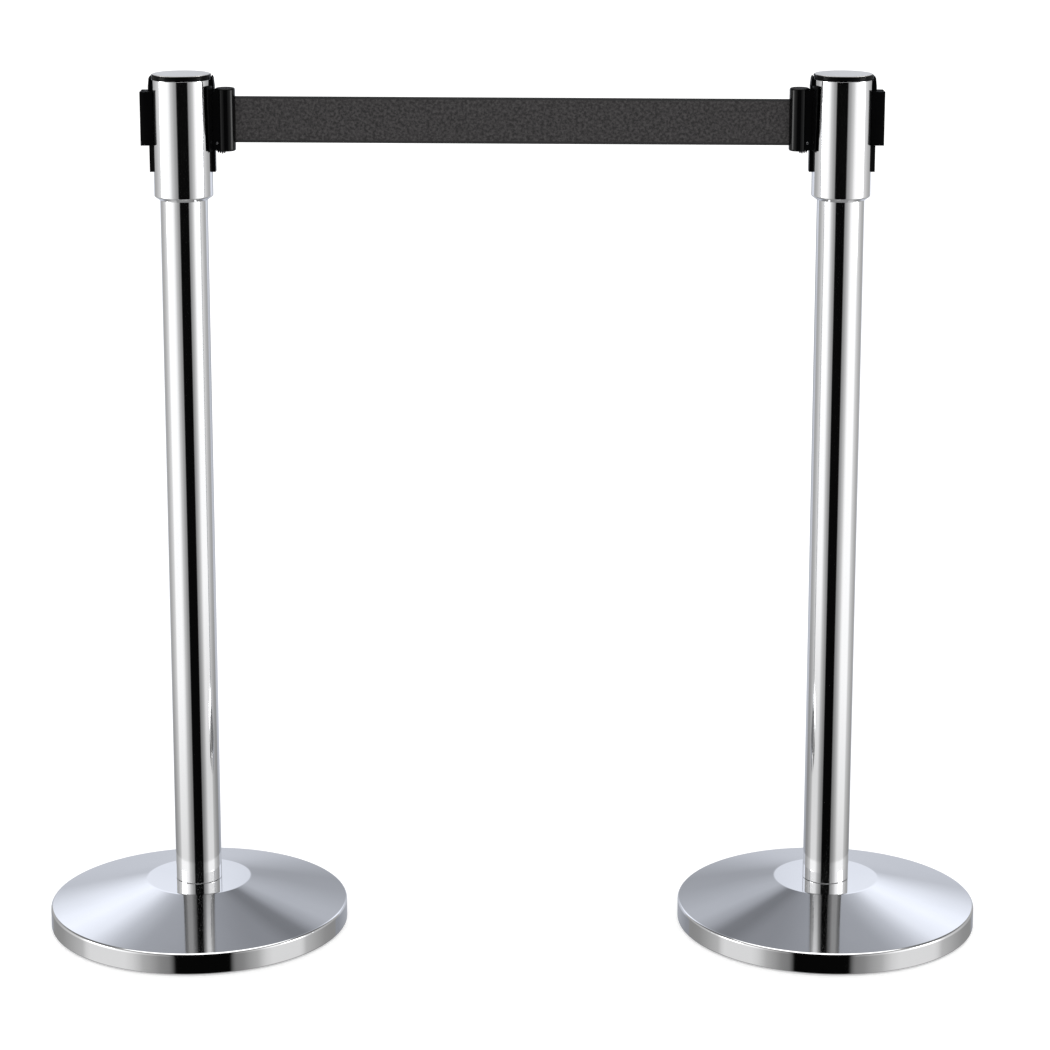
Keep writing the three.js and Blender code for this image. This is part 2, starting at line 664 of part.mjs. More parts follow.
// Receiver on the outer rail. Its back hugs the sleeve, and its face has a slot like the rail's.
function outerReceiver() {
  const [foot, top] = [receiverMiddle - RECEIVER_HEIGHT / 2, receiverMiddle + RECEIVER_HEIGHT / 2];
  const backAngle = Math.asin(RECEIVER_HALF / saddleInside);
  const outline = [
    [RECEIVER_OUTER, -RECEIVER_HALF],
    [RECEIVER_OUTER, RECEIVER_HALF],
    ...arc(0, 0, saddleInside, backAngle, -backAngle, WING_STEPS),
  ];
  const slot = teeSlot(RECEIVER_OUTER, foot + RECEIVER_SLOT_FLOOR, top + OVERRUN);
  const block = cut(prism(outline, foot, top), railRoom(foot - OVERRUN, top + OVERRUN), slot);
  const sink = bar(
    receiverScrewSeat - CLEARANCE,
    RECEIVER_OUTER,
    0,
    receiverMiddle,
    SCREW_HEAD_RADIUS + CLEARANCE,
  );
  const tongued = join(block, tongue(foot, Math.min(top, railShoulder)));
  return cut(tongued, receiverScrewHole(), sink).rotate([0, 0, 180]);
}

// Screw through the receiver's back into the rail, its head sunk below the slot.
function receiverScrew() {
  const tip = RAIL_OUTER - SLOT_DEPTH - RECEIVER_SCREW_TIP;
  return join(
    bar(receiverScrewSeat, receiverScrewSeat + SCREW_HEAD_HEIGHT, 0, receiverMiddle, SCREW_HEAD_RADIUS),
    bar(tip, receiverScrewSeat + SCREW_HEAD_HEIGHT / 2, 0, receiverMiddle, SCREW_RADIUS),
  ).rotate([0, 0, 180]);
}

function receiverScrewHole() {
  const tip = RAIL_OUTER - SLOT_DEPTH - RECEIVER_SCREW_TIP - CLEARANCE;
  return bar(tip, RECEIVER_OUTER, 0, receiverMiddle, SCREW_RADIUS + CLEARANCE);
}

// The outline that the outlet nose and the belt clip share: wings round the sleeve, a web and a
// round barrel.
function barrelBody() {
  const angle = Math.acos(WING_EDGE_TOP / saddleOutside);
  const wings = prism(
    [
      ...arc(0, 0, saddleOutside, -angle, angle, WING_STEPS),
      ...arc(0, 0, saddleInside, angle, -angle, WING_STEPS),
    ],
    beltMiddle - WING_FOOT,
    beltMiddle + WING_TOP,
  );
  const footEdge = WING_EDGE_FOOT - WING_EDGE_TOP;
  const trim = sidePrism(
    [
      [0, beltMiddle - WING_FOOT - OVERRUN],
      [WING_EDGE_TOP + footEdge, beltMiddle - WING_FOOT - OVERRUN],
      [WING_EDGE_TOP, beltMiddle + WING_TOP],
      [WING_EDGE_TOP + EDGE_ROUND, beltMiddle + WING_TOP + OVERRUN],
      [0, beltMiddle + WING_TOP + OVERRUN],
    ],
    -saddleOutside,
    saddleOutside,
  );
  const webStart = Math.sqrt(saddleOutside ** 2 - WEB_HALF ** 2) - WING_WALL / 2;
  const web = box(webStart, BARREL_PLACE, -WEB_HALF, WEB_HALF, barrelFoot + EDGE_ROUND, webTop);
  const roundPlace = BARREL_RADIUS - EDGE_ROUND;
  const footRound = arc(roundPlace, barrelFoot + EDGE_ROUND, EDGE_ROUND, -Math.PI / 2, 0, ARC_STEPS - 1);
  const topRound = arc(roundPlace, barrelTop - EDGE_ROUND, EDGE_ROUND, 0, Math.PI / 2, ARC_STEPS - 1);
  const barrel = revolve([[0, barrelFoot], ...footRound, ...topRound, [0, barrelTop]], BARREL_FACETS);
  return join(wings.subtract(trim), web, barrel.translate([BARREL_PLACE, 0, 0]));
}

// Pocket in the barrel's foot for the catch and its spring.
function catchPocket() {
  const half = CATCH_HALF + CLEARANCE;
  const top = barrelFoot + CATCH_HEIGHT + CLEARANCE;
  const nibHalf = CATCH_NIB_HALF + CLEARANCE;
  const springEnd = BARREL_PLACE + BARREL_RADIUS - CATCH_SPRING_WALL;
  const springHalf = CATCH_SPRING_RADIUS + CLEARANCE;
  const inner = CATCH_INNER - CLEARANCE;
  const outer = CATCH_OUTER + CATCH_TRAVEL + CLEARANCE;
  return join(
    box(inner, outer, -half, half, barrelFoot - OVERRUN, top),
    box(RAIL_OUTER, inner + OVERRUN, -nibHalf, nibHalf, barrelFoot - OVERRUN, top),
    box(outer - OVERRUN, springEnd, -springHalf, springHalf, barrelFoot, top),
  );
}

// Catch: a nib that bears on the rail's face, a body in the pocket, and a ridged grip below the barrel.
function catchSlide() {
  const foot = barrelFoot;
  const gripTop = foot + CATCH_HEIGHT;
  const pitch = (CATCH_OUTER - CATCH_INNER) / CATCH_RIDGES;
  const ridges = Array.from({ length: CATCH_RIDGES }, (_, i) => {
    const start = CATCH_OUTER - pitch * i;
    const share = 1 - Math.abs(i - (CATCH_RIDGES - 1) / 2) / CATCH_RIDGES;
    const deep = foot - CATCH_GRIP * share;
    return [
      [start - pitch / 4, deep],
      [start - (3 * pitch) / 4, deep],
      [start - pitch, foot - (CATCH_GRIP * share) / 2],
    ];
  }).flat();
  ridges.pop();
  const top = [[CATCH_INNER, gripTop], [CATCH_OUTER, gripTop]];
  const side = [...top, [CATCH_OUTER, foot], ...ridges, [CATCH_INNER, foot]];
  const body = sidePrism(side, -CATCH_HALF, CATCH_HALF);
  const [tip, nibTop] = [RAIL_OUTER + CLEARANCE, foot + CATCH_NIB_HEIGHT];
  const nib = box(tip, CATCH_INNER + OVERRUN, -CATCH_NIB_HALF, CATCH_NIB_HALF, foot, nibTop);
  return join(body, nib);
}

// Short return spring between the catch and the barrel's outer wall.
function catchSpring() {
  const from = CATCH_OUTER + CLEARANCE;
  const to = barrelReach - CATCH_SPRING_WALL - CLEARANCE;
  return bar(from, to, 0, barrelFoot + CATCH_HEIGHT / 2 + CLEARANCE / 2, CATCH_SPRING_RADIUS);
}

// That outline with room for the rail and a tongue in the rail's slot.
function hungBody() {
  const room = railRoom(barrelFoot - OVERRUN, beltMiddle + WING_TOP + OVERRUN);
  return join(cut(barrelBody(), room), tongue(tongueFoot, webTop));
}

// Outlet nose: the belt runs out through it and leaves at the barrel's outermost line.
function outletNose() {
  return cut(hungBody(), beltSlot(0, barrelReach + OVERRUN), catchPocket());
}

// Belt clip: the belt's end is looped round a pin in the barrel's bore.
function clipBody() {
  const pinFoot = loopPinFoot - CLEARANCE;
  const [boreFoot, boreTop] = [beltMiddle - BELT_SLOT_HALF_HEIGHT, beltMiddle + BELT_SLOT_HALF_HEIGHT];
  return cut(
    hungBody(),
    beltSlot(BARREL_PLACE, barrelReach + OVERRUN),
    pillar(BARREL_PLACE, 0, LOOP_BORE_RADIUS, boreFoot, boreTop, BARREL_FACETS),
    pillar(BARREL_PLACE, 0, LOOP_PIN_RADIUS + CLEARANCE, pinFoot, loopPinTop + CLEARANCE, BARREL_FACETS),
    catchPocket(),
  );
}

function loopPin() {
  return pillar(BARREL_PLACE, 0, LOOP_PIN_RADIUS, loopPinFoot, loopPinTop, BARREL_FACETS);
}

// The belt's end: a loop round the pin, closed where it meets the straight belt.
function beltLoop(middle) {
  const inner = LOOP_PIN_RADIUS + CLEARANCE;
  const outer = inner + BELT_THICKNESS;
  const half = BELT_THICKNESS / 2;
  const open = Math.asin(half / outer);
  const outline = [
    [BARREL_PLACE + BARREL_RADIUS, -half],
    [BARREL_PLACE + BARREL_RADIUS, half],
    ...arc(BARREL_PLACE, 0, outer, open, 2 * Math.PI - open, BARREL_FACETS),
  ];
  const hole = arc(BARREL_PLACE, 0, inner, 0, 2 * Math.PI, BARREL_FACETS).slice(0, -1);
  return prism(outline, middle - beltHalf, middle + beltHalf, [hole]);
}

// Where the belt leaves the roll and passes the front guide pin: the line that crosses between two circles.
function beltLead() {
  const rollPath = rollOutside + CLEARANCE + BELT_THICKNESS / 2;
  const pinPath = GUIDE_PIN_RADIUS + CLEARANCE + BELT_THICKNESS / 2;
  const pin = [GUIDE_PIN_PLACE, -pinPath];
  const reach = Math.hypot(...pin);
  const heading = Math.atan2(pin[1], pin[0]) + Math.asin((rollPath + pinPath) / reach);
  const left = heading + Math.PI / 2;
  const start = [-rollPath * Math.cos(left), -rollPath * Math.sin(left)];
  const bend = arc(pin[0], pin[1], pinPath, left, Math.PI / 2, ARC_STEPS);
  const line = [start, ...bend, [barrelReach, 0]];
  return stripAlong(line, BELT_THICKNESS, beltMiddle - beltHalf, beltMiddle + beltHalf);
}

// A thin strip that stands on edge along a line in plan.
function stripAlong(line, thickness, foot, top) {
  const sides = line.map(([x, y], i) => {
    const [beforeX, beforeY] = line[Math.max(i - 1, 0)];
    const [afterX, afterY] = line[Math.min(i + 1, line.length - 1)];
    const along = Math.hypot(afterX - beforeX, afterY - beforeY);
    const [sideX, sideY] = [-(afterY - beforeY) / along, (afterX - beforeX) / along];
    const half = thickness / 2;
    return [
      [x + sideX * half, y + sideY * half],
      [x - sideX * half, y - sideY * half],
    ];
  });
  const [leftLine, rightLine] = [sides.map(([left]) => left), sides.map(([, right]) => right)];
  return prism([...rightLine, ...leftLine.reverse()], foot, top);
}

// Drum with two flanges round the belt, a hub on top and a cup below for the power spring.
function reelDrum() {
  const bore = SPINDLE_RADIUS + RUNNING_CLEARANCE;
  const cupInside = DRUM_FLANGE_RADIUS - SPRING_CUP_WALL;
  return revolve(
    [
      [bore, lowerFlangeFoot],
      [cupInside, lowerFlangeFoot],
      [cupInside, cupFoot],
      [DRUM_FLANGE_RADIUS, cupFoot],
      [DRUM_FLANGE_RADIUS, lowerFlangeTop],
      [DRUM_CORE_RADIUS, lowerFlangeTop],
      [DRUM_CORE_RADIUS, upperFlangeFoot],
      [DRUM_FLANGE_RADIUS, upperFlangeFoot],
      [DRUM_FLANGE_RADIUS, upperFlangeTop],
      [DRUM_HUB_RADIUS, upperFlangeTop],
      [DRUM_HUB_RADIUS, upperFlangeTop + DRUM_HUB_TOP],
      [bore, upperFlangeTop + DRUM_HUB_TOP],
    ],
    POST_FACETS,
  );
}

// Lid of the spring cup, with the hub that the reel stands on.
function springCover() {
  const bore = SPINDLE_RADIUS + RUNNING_CLEARANCE;
  const top = cupFoot - CLEARANCE;
  return revolve(
    [
      [bore, bossTop + CLEARANCE],
      [DRUM_HUB_RADIUS, bossTop + CLEARANCE],
      [DRUM_HUB_RADIUS, top - SPRING_COVER],
      [DRUM_FLANGE_RADIUS, top - SPRING_COVER],
      [DRUM_FLANGE_RADIUS, top],
      [bore, top],
    ],
    POST_FACETS,
  );
}

// Flat spiral spring: its inner end reaches in to the spindle, its outer end lies on the cup's wall.
function powerSpring() {
  const outer = DRUM_FLANGE_RADIUS - SPRING_CUP_WALL - CLEARANCE - SPRING_STRIP / 2;
  const steps = SPRING_TURNS * SPRING_STEPS;
  const coil = Array.from({ length: steps + 1 }, (_, i) => {
    const angle = (2 * Math.PI * i) / SPRING_STEPS;
    const radius = SPRING_INNER_RADIUS + ((outer - SPRING_INNER_RADIUS) * i) / steps;
    return [radius * Math.cos(angle), radius * Math.sin(angle)];
  });
  const middle = (cupFoot + lowerFlangeFoot) / 2;
  const tab = [SPINDLE_RADIUS + CLEARANCE, 0];
  const [foot, top] = [middle - SPRING_STRIP_HEIGHT / 2, middle + SPRING_STRIP_HEIGHT / 2];
  const pitch = (outer - SPRING_INNER_RADIUS) / SPRING_TURNS;
  console.log("power spring: least gap between its turns " + (pitch - SPRING_STRIP).toFixed(2) + " mm");
  const hook = box(tab[0], SPRING_INNER_RADIUS, -SPRING_STRIP, SPRING_STRIP, foot, top);
  return join(stripAlong(coil, SPRING_STRIP, foot, top), hook);
}

function beltRoll() {
  return revolve(
    [
      [rollInside, beltMiddle - beltHalf],
      [rollOutside, beltMiddle - beltHalf],
      [rollOutside, beltMiddle + beltHalf],
      [rollInside, beltMiddle + beltHalf],
    ],
    POST_FACETS,
  );
}

function reelSpindle() {
  return pillar(0, 0, SPINDLE_RADIUS, coreInside, capFoot - CAP_SKIRT_WALL - CLEARANCE, 2 * SMALL_FACETS);
}

// Polished pin beside the belt, between the core's floor and the cap.
function guidePin(side) {
  const place = side * (BELT_THICKNESS / 2 + CLEARANCE + GUIDE_PIN_RADIUS);
  const foot = coreInside + CLEARANCE;
  const top = beltMiddle + beltHalf + GUIDE_PIN_OVER_BELT;
  return pillar(GUIDE_PIN_PLACE, place, GUIDE_PIN_RADIUS, foot, top);
}

// The pieces that both posts have. Front is the side towards -Y, which turns over with the right post.
function postPieces(post, turned) {
  const [near, far] = turned ? [1, -1] : [-1, 1];
  const screwSeat = coreInside + CLEARANCE;
  return [
    piece(post + "_base_cover", baseCover(), mirrorSteel()),
    piece(post + "_base_weight", baseWeight(), castIron()),
    piece(post + "_floor_ring", floorRing(), blackRubber()),
    piece(post + "_base_bolt", baseBolt(), zincSteel()),
    piece(post + "_base_washer", baseWasher(), zincSteel()),
    piece(post + "_foot_plug", footPlug(), zincSteel()),
    piece(post + "_post_tube", postTube(), mirrorSteel()),
    piece(post + "_neck_plug", neckPlug(), greyPlastic()),
    piece(post + "_neck_screw_front", uprightScrew(0, near * NECK_SCREW_PLACE, screwSeat), zincSteel()),
    piece(post + "_neck_screw_rear", uprightScrew(0, far * NECK_SCREW_PLACE, screwSeat), zincSteel()),
    piece(post + "_head_sleeve", headSleeve(), mirrorSteel()),
    piece(post + "_head_core", headCore(!turned), blackPlastic()),
    piece(post + "_cap_ring", capRing(), blackPlastic()),
    piece(post + "_cap_disc", capDisc(), satinSteel()),
    piece(post + "_cap_screw_front", uprightScrew(0, near * capScrewPlace, capScrewSeat), zincSteel()),
    piece(post + "_cap_screw_rear", uprightScrew(0, far * capScrewPlace, capScrewSeat), zincSteel()),
    piece(post + "_outer_receiver", outerReceiver(), blackPlastic()),
    piece(post + "_receiver_screw", receiverScrew(), zincSteel()),
  ];
}

const reelPieces = [
  piece("outlet_nose", outletNose(), blackPlastic()),
  piece("nose_catch", catchSlide(), blackPlastic()),
  piece("nose_catch_spring", catchSpring(), springSteel()),
  piece("guide_pin_front", guidePin(-1), zincSteel()),
  piece("guide_pin_rear", guidePin(1), zincSteel()),
  piece("reel_spindle", reelSpindle(), zincSteel()),
  piece("reel_drum", reelDrum(), greyPlastic()),
  piece("spring_cover", springCover(), greyPlastic()),
  piece("power_spring", powerSpring(), springSteel()),
  piece("belt_roll", beltRoll(), wovenBelt()),
  piece("belt_lead", beltLead(), wovenBelt()),
];

const clipPieces = [
  piece("clip_body", clipBody(), blackPlastic()),
  piece("clip_catch", catchSlide(), blackPlastic()),
  piece("clip_catch_spring", catchSpring(), springSteel()),
  piece("clip_belt_pin", loopPin(), zincSteel()),
  piece("clip_belt_loop", beltLoop(beltMiddle - BELT_FALL), wovenBelt()),
];

// A free stretch of the belt between two places along X, falling evenly from the outlet to the clip.
function beltStretch(name, from, to) {
  const start = -beltFree / 2;
  const middleAt = (x) => beltMiddle - (BELT_FALL * (x - start)) / beltFree;
  const outline = [
    [from, middleAt(from) - beltHalf],
    [to, middleAt(to) - beltHalf],
    [to, middleAt(to) + beltHalf],
    [from, middleAt(from) + beltHalf],
  ];
  return piece(name, sidePrism(outline, -BELT_THICKNESS / 2, BELT_THICKNESS / 2), wovenBelt());
}

const tailStart = beltFree / 2 - tailLength;
const feed = beltStretch("belt_feed", -beltFree / 2 + CLEARANCE, tailStart - CLEARANCE);
const tail = beltStretch("belt_tail", tailStart, beltFree / 2 - CLEARANCE);

const leftPost = new THREE.Group();
leftPost.add(...postPieces("left", false), ...reelPieces);
leftPost.position.x = -POST_SPACING / 2;

const rightPost = new THREE.Group();
rightPost.add(...postPieces("right", true), ...clipPieces);
rightPost.position.x = POST_SPACING / 2;
rightPost.rotation.z = Math.PI;

const barrier = new THREE.Group();
barrier.add(leftPost, rightPost, feed, tail);

export default barrier;
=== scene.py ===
# %% [markdown]
# # A belt barrier, dressed for its picture
# The frame gives every piece of the barrier at its real size. This lesson gives the pieces that
# show their finished shapes and surfaces: polished steel, satin steel, moulded plastic and woven
# belt. Everything is in metres, with the floor at height zero.

import json
import math

import bmesh
import bpy
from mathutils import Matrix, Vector


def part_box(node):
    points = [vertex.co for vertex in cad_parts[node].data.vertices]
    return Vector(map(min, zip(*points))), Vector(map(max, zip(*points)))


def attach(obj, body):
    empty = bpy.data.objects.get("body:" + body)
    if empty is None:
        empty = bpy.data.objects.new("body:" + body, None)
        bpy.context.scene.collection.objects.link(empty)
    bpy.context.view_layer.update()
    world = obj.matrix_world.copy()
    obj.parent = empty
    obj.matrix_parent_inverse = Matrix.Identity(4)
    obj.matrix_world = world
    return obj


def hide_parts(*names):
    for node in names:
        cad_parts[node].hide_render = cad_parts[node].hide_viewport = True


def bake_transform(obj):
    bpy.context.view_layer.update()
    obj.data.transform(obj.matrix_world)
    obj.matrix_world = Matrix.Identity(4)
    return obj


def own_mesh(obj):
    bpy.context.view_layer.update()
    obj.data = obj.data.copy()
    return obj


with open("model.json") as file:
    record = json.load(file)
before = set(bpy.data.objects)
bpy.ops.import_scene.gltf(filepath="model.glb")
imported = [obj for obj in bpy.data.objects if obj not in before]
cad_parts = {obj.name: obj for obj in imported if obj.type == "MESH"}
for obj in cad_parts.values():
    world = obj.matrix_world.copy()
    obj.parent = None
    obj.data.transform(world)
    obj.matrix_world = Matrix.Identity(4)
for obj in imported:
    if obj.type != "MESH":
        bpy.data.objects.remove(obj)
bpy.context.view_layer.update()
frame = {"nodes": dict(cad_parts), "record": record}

# %% [markdown]
# ## The sizes that the frame gives
# The two posts are the same piece turned round, so one set of sizes serves both. Each size is
# read from the box of the piece that has it, so that the dressed pieces can't drift away from the
# frame.

# %% Read the main sizes
MM = 0.001


def span(node, axis):
    """Lowest and highest place of a node along one axis."""
    low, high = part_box(node)
    return low[axis], high[axis]


def middle_of(node, axis):
    return sum(span(node, axis)) / 2


def radius_of(node):
    """Radius of a node that is round in plan, from its extent to the front and the back."""
    low, high = span(node, 1)
    return (high - low) / 2


CLEARANCE = 0.3 * MM
SIDES = {"left": -1, "right": 1}
POST_X = middle_of("right_post_tube", 0)
TUBE_RADIUS = radius_of("left_post_tube")
SLEEVE_RADIUS = radius_of("left_head_sleeve")
BASE_RADIUS = radius_of("left_base_cover")
print(f"posts at x = ±{POST_X:.4f}")
print(f"radii: tube {TUBE_RADIUS:.4f}, sleeve {SLEEVE_RADIUS:.4f}, base {BASE_RADIUS:.4f}")

# %% [markdown]
# ## The camera
# The picture is taken from the front, a little above the heads, with a long lens, so that the
# posts look almost parallel. The distance, height and tilt were fitted to the outline of the
# posts. The frame is shifted a little, as with a shift lens, to bring the bases in without more
# tilt.

# %% Set up the camera
CAMERA_DISTANCE = 3.4
CAMERA_HEIGHT = 1.341
CAMERA_TILT = 12.7  # degrees below the horizon
CAMERA_LENS = 110.25
CAMERA_FILM = 36
CAMERA_SHIFT = (0.0121, -0.1)


def new_object(name, data):
    """An object in the scene that shows the given data."""
    obj = bpy.data.objects.new(name, data)
    bpy.context.scene.collection.objects.link(obj)
    return obj


camera_data = bpy.data.cameras.new("camera")
camera_data.sensor_width = CAMERA_FILM
camera_data.lens = CAMERA_LENS
camera_data.shift_x, camera_data.shift_y = CAMERA_SHIFT
camera = new_object("camera", camera_data)
camera.location = (0, -CAMERA_DISTANCE, CAMERA_HEIGHT)
camera.rotation_euler = (math.radians(90 - CAMERA_TILT), 0, 0)
bpy.context.scene.camera = camera
bpy.context.scene.view_settings.view_transform = "Standard"
print("camera:", tuple(camera.location), "lens", CAMERA_LENS)

# %% [markdown]
# ## Building node trees
# Every material and every Geometry Nodes tree below is made of the same few steps: add a node,
# set its values, link its sockets. Small helpers keep those steps readable.

# %% Helpers for node trees


def add(tree, kind, inputs=None, **settings):
    """Adds a node. inputs maps a socket's name or number to a value or to another node's output."""
    node = tree.nodes.new(kind)
    for name, value in settings.items():
        setattr(node, name, value)
    for key, value in (inputs or {}).items():
        socket = node.inputs[key]
        if isinstance(value, bpy.types.NodeSocket):
            tree.links.new(value, socket)
        else:
            socket.default_value = value
    return node


def calc(tree, operation, *values):
    """A Math node's output."""
    return add(tree, "ShaderNodeMath", dict(enumerate(values)), operation=operation).outputs[0]


def times(tree, value, factor):
    return calc(tree, "MULTIPLY", value, factor)


def vector(tree, x=0.0, y=0.0, z=0.0):
    return add(tree, "ShaderNodeCombineXYZ", {0: x, 1: y, 2: z}).outputs[0]


def split(tree, value):
    """The three axes of a vector."""
    return add(tree, "ShaderNodeSeparateXYZ", {0: value}).outputs


def scaled(tree, value, scale):
    """A vector multiplied by another, axis by axis."""
    return add(tree, "ShaderNodeVectorMath", {0: value, 1: scale}, operation="MULTIPLY").outputs[0]


def between(tree, factor, low, high):
    """A value that goes from low to high as the factor goes from 0 to 1."""
    return add(tree, "ShaderNodeMapRange", {0: factor, 3: low, 4: high}).outputs[0]


def mixed(tree, factor, first, second):
    inputs = {0: factor, 2: first, 3: second}
    return add(tree, "ShaderNodeMix", inputs, data_type="FLOAT").outputs[0]


def mixed_colour(tree, factor, first, second):
    inputs = {0: factor, 6: first, 7: second}
    return add(tree, "ShaderNodeMix", inputs, data_type="RGBA").outputs[2]


def ramp(tree, factor, stops):
    """A colour ramp of (place, grey) stops."""
    node = add(tree, "ShaderNodeValToRGB", {0: factor})
    elements = node.color_ramp.elements
    while len(elements) < len(stops):
        elements.new(0.5)
    for element, (place, grey) in zip(elements, stops):
        element.position = place
        element.color = (grey, grey, grey, 1)
    return node.outputs[0]


def object_place(tree):
    """The place on the object, and its three axes."""
    place = add(tree, "ShaderNodeTexCoord").outputs["Object"]
    return place, split(tree, place)


def fresh_tree(owner):
    owner.use_nodes = True
    owner.node_tree.nodes.clear()
    return owner.node_tree


def new_material(name):
    material = bpy.data.materials.new(name)
    return material, fresh_tree(material)


# %% [markdown]
# ## The light
# Everything is lit by plain, even white from all sides. Glossy rays see another world, because
# what the steel mirrors is hung round it as objects further down. Past those objects they see a
# ceiling that grows bright overhead and draws the thin white line along the rolled edges of the
# bases.

# %% Build the world
MIRRORED_GROUND = 0.3
MIRRORED_CEILING = 1.8
WHITE = (1, 1, 1, 1)

world = bpy.data.worlds.new("studio")
bpy.context.scene.world = world
tree = fresh_tree(world)
is_glossy = add(tree, "ShaderNodeLightPath").outputs["Is Glossy Ray"]
rise = split(tree, add(tree, "ShaderNodeTexCoord").outputs["Generated"])[2]
in_mirrors = between(tree, rise, MIRRORED_GROUND, MIRRORED_CEILING)
seen = between(tree, is_glossy, 1.0, in_mirrors)
background = add(tree, "ShaderNodeBackground", {0: WHITE, 1: seen})
add(tree, "ShaderNodeOutputWorld", {0: background.outputs[0]})
print("world:", len(tree.nodes), "nodes")

# %% [markdown]
# ## Building meshes
# Most pieces are laid out as rings of points that are joined by walls, so a few helpers give even
# steps, circles, rectangles and the faces between rings.

# %% Helpers for meshes


def steps_between(first, last, steps):
    """Values from first to last in even steps, with both ends."""
    return [first + (last - first) * k / steps for k in range(steps + 1)]


def full_turn(steps):
    """The angles of one turn, in even steps."""
    return [2 * math.pi * k / steps for k in range(steps)]


def polar(radius, angles):
    return [(radius * math.cos(a), radius * math.sin(a)) for a in angles]


def both_ways(half):
    return -half, half


def rectangle(across, up):
    """The corners between two pairs of places, counter-clockwise."""
    return [(across[0], up[0]), (across[1], up[0]), (across[1], up[1]), (across[0], up[1])]


def walls(count, levels=2):
    """The faces between rings of count points."""
    return [
        (low + i, low + (i + 1) % count, low + count + (i + 1) % count, low + count + i)
        for low in range(0, count * (levels - 1), count)
        for i in range(count)
    ]


def lids(count, levels=2):
    """The faces that close the first and the last ring."""
    last = count * (levels - 1)
    return [tuple(reversed(range(count))), tuple(range(last, last + count))]


def new_mesh(name, points, faces):
    mesh = bpy.data.meshes.new(name)
    mesh.from_pydata([tuple(p) for p in points], [], faces)
    return mesh


# %% [markdown]
# ## Floor and backdrop
# The floor is plain white and keeps a faint contact shadow. It gives the camera a little light of
# its own, so that it runs into the white background without an edge. The cones of the bases face
# upwards, so they mirror what hangs behind the posts: a backdrop that is bright outside and grey
# between the posts. It is a plane that only glossy rays see.

# %% Lay the floor
FLOOR_REACH = 12
FLOOR_GREY = 0.82
FLOOR_GLOW = 0.38

corners = rectangle(both_ways(FLOOR_REACH), both_ways(FLOOR_REACH))
floor = new_object("floor", new_mesh("floor", [(x, y, 0) for x, y in corners], [(0, 1, 2, 3)]))
material, tree = new_material("white_floor")
diffuse = add(tree, "ShaderNodeBsdfDiffuse", {0: (FLOOR_GREY, FLOOR_GREY, FLOOR_GREY, 1)})
is_camera = add(tree, "ShaderNodeLightPath").outputs["Is Camera Ray"]
glow = add(tree, "ShaderNodeEmission", {0: WHITE, 1: times(tree, is_camera, FLOOR_GLOW)})
both = add(tree, "ShaderNodeAddShader", {0: diffuse.outputs[0], 1: glow.outputs[0]})
add(tree, "ShaderNodeOutputMaterial", {0: both.outputs[0]})
floor.data.materials.append(material)
floor.visible_glossy = False
print("floor:", 2 * FLOOR_REACH, "m wide")

# %% Helpers for what only mirrors see


def for_mirrors_only(obj):
    """Only glossy rays see the object, and it casts no shadow."""
    obj.visible_camera = obj.visible_diffuse = obj.visible_shadow = False
    obj.visible_transmission = False


def glowing(obj, name, tint, brightness):
    """A glowing material of one tint. brightness builds its grey on the node tree."""
    material, tree = new_material(name)
    tinted = scaled(tree, brightness(tree), tint)
    glow = add(tree, "ShaderNodeEmission", {0: tinted, 1: 1.0})
    add(tree, "ShaderNodeOutputMaterial", {0: glow.outputs[0]})
    obj.data.materials.append(material)


def by_place(tree, value, stops):
    """Greys by place. The stops are (place, brightness), and brightness may be above one."""
    low, high = stops[0][0], stops[-1][0]
    top = max(grey for _, grey in stops)
    share = add(tree, "ShaderNodeMapRange", {0: value, 1: low, 2: high}).outputs[0]
    greys = ramp(tree, share, [((place - low) / (high - low), grey / top) for place, grey in stops])
    return times(tree, greys, top)


# %% Hang the backdrop
BACKDROP_PLACE = 1.6
BACKDROP_REACH = 1.35
BACKDROP_TINT = (0.94, 0.98, 1.08)
BACKDROP_HEIGHTS = (-1.6, 3.2)
OUTER_GREYS = (  # (height, brightness) beside the posts
    *((-1.6, 0.28), (-0.8, 0.3), (-0.3, 0.62), (0.1, 0.62), (0.3, 0.6), (0.63, 0.88)),
    *((0.9, 1.04), (1.12, 1.1), (1.45, 0.95), (1.72, 0.59), (1.95, 0.4), (2.2, 0.36)),
)
INNER_GREYS = (  # the same between the posts
    *((-1.6, 0.28), (-0.8, 0.3), (-0.3, 0.63), (-0.15, 0.58), (0.05, 0.46), (0.3, 0.38)),
    *((0.5, 0.4), (0.7, 0.46), (0.9, 0.51), (1.08, 0.52), (1.27, 0.4), (1.42, 0.22)),
    *((1.55, 0.21), (1.74, 0.28), (2.2, 0.3)),
)
INNER_EDGE, OUTER_EDGE = 0.14, 0.56

corners = rectangle(both_ways(BACKDROP_REACH), BACKDROP_HEIGHTS)
points = [(x, BACKDROP_PLACE, z) for x, z in corners]
backdrop = new_object("backdrop", new_mesh("backdrop", points, [(0, 1, 2, 3)]))


def backdrop_brightness(tree):
    _, axes = object_place(tree)
    sideways = {0: calc(tree, "ABSOLUTE", axes[0]), 1: INNER_EDGE, 2: OUTER_EDGE}
    outward = add(tree, "ShaderNodeMapRange", sideways, interpolation_type="SMOOTHSTEP").outputs[0]
    inner, outer = (by_place(tree, axes[2], greys) for greys in (INNER_GREYS, OUTER_GREYS))
    return mixed(tree, outward, inner, outer)


glowing(backdrop, "backdrop_greys", BACKDROP_TINT, backdrop_brightness)
for_mirrors_only(backdrop)
print("backdrop:", 2 * BACKDROP_REACH, "m wide, at y =", BACKDROP_PLACE)

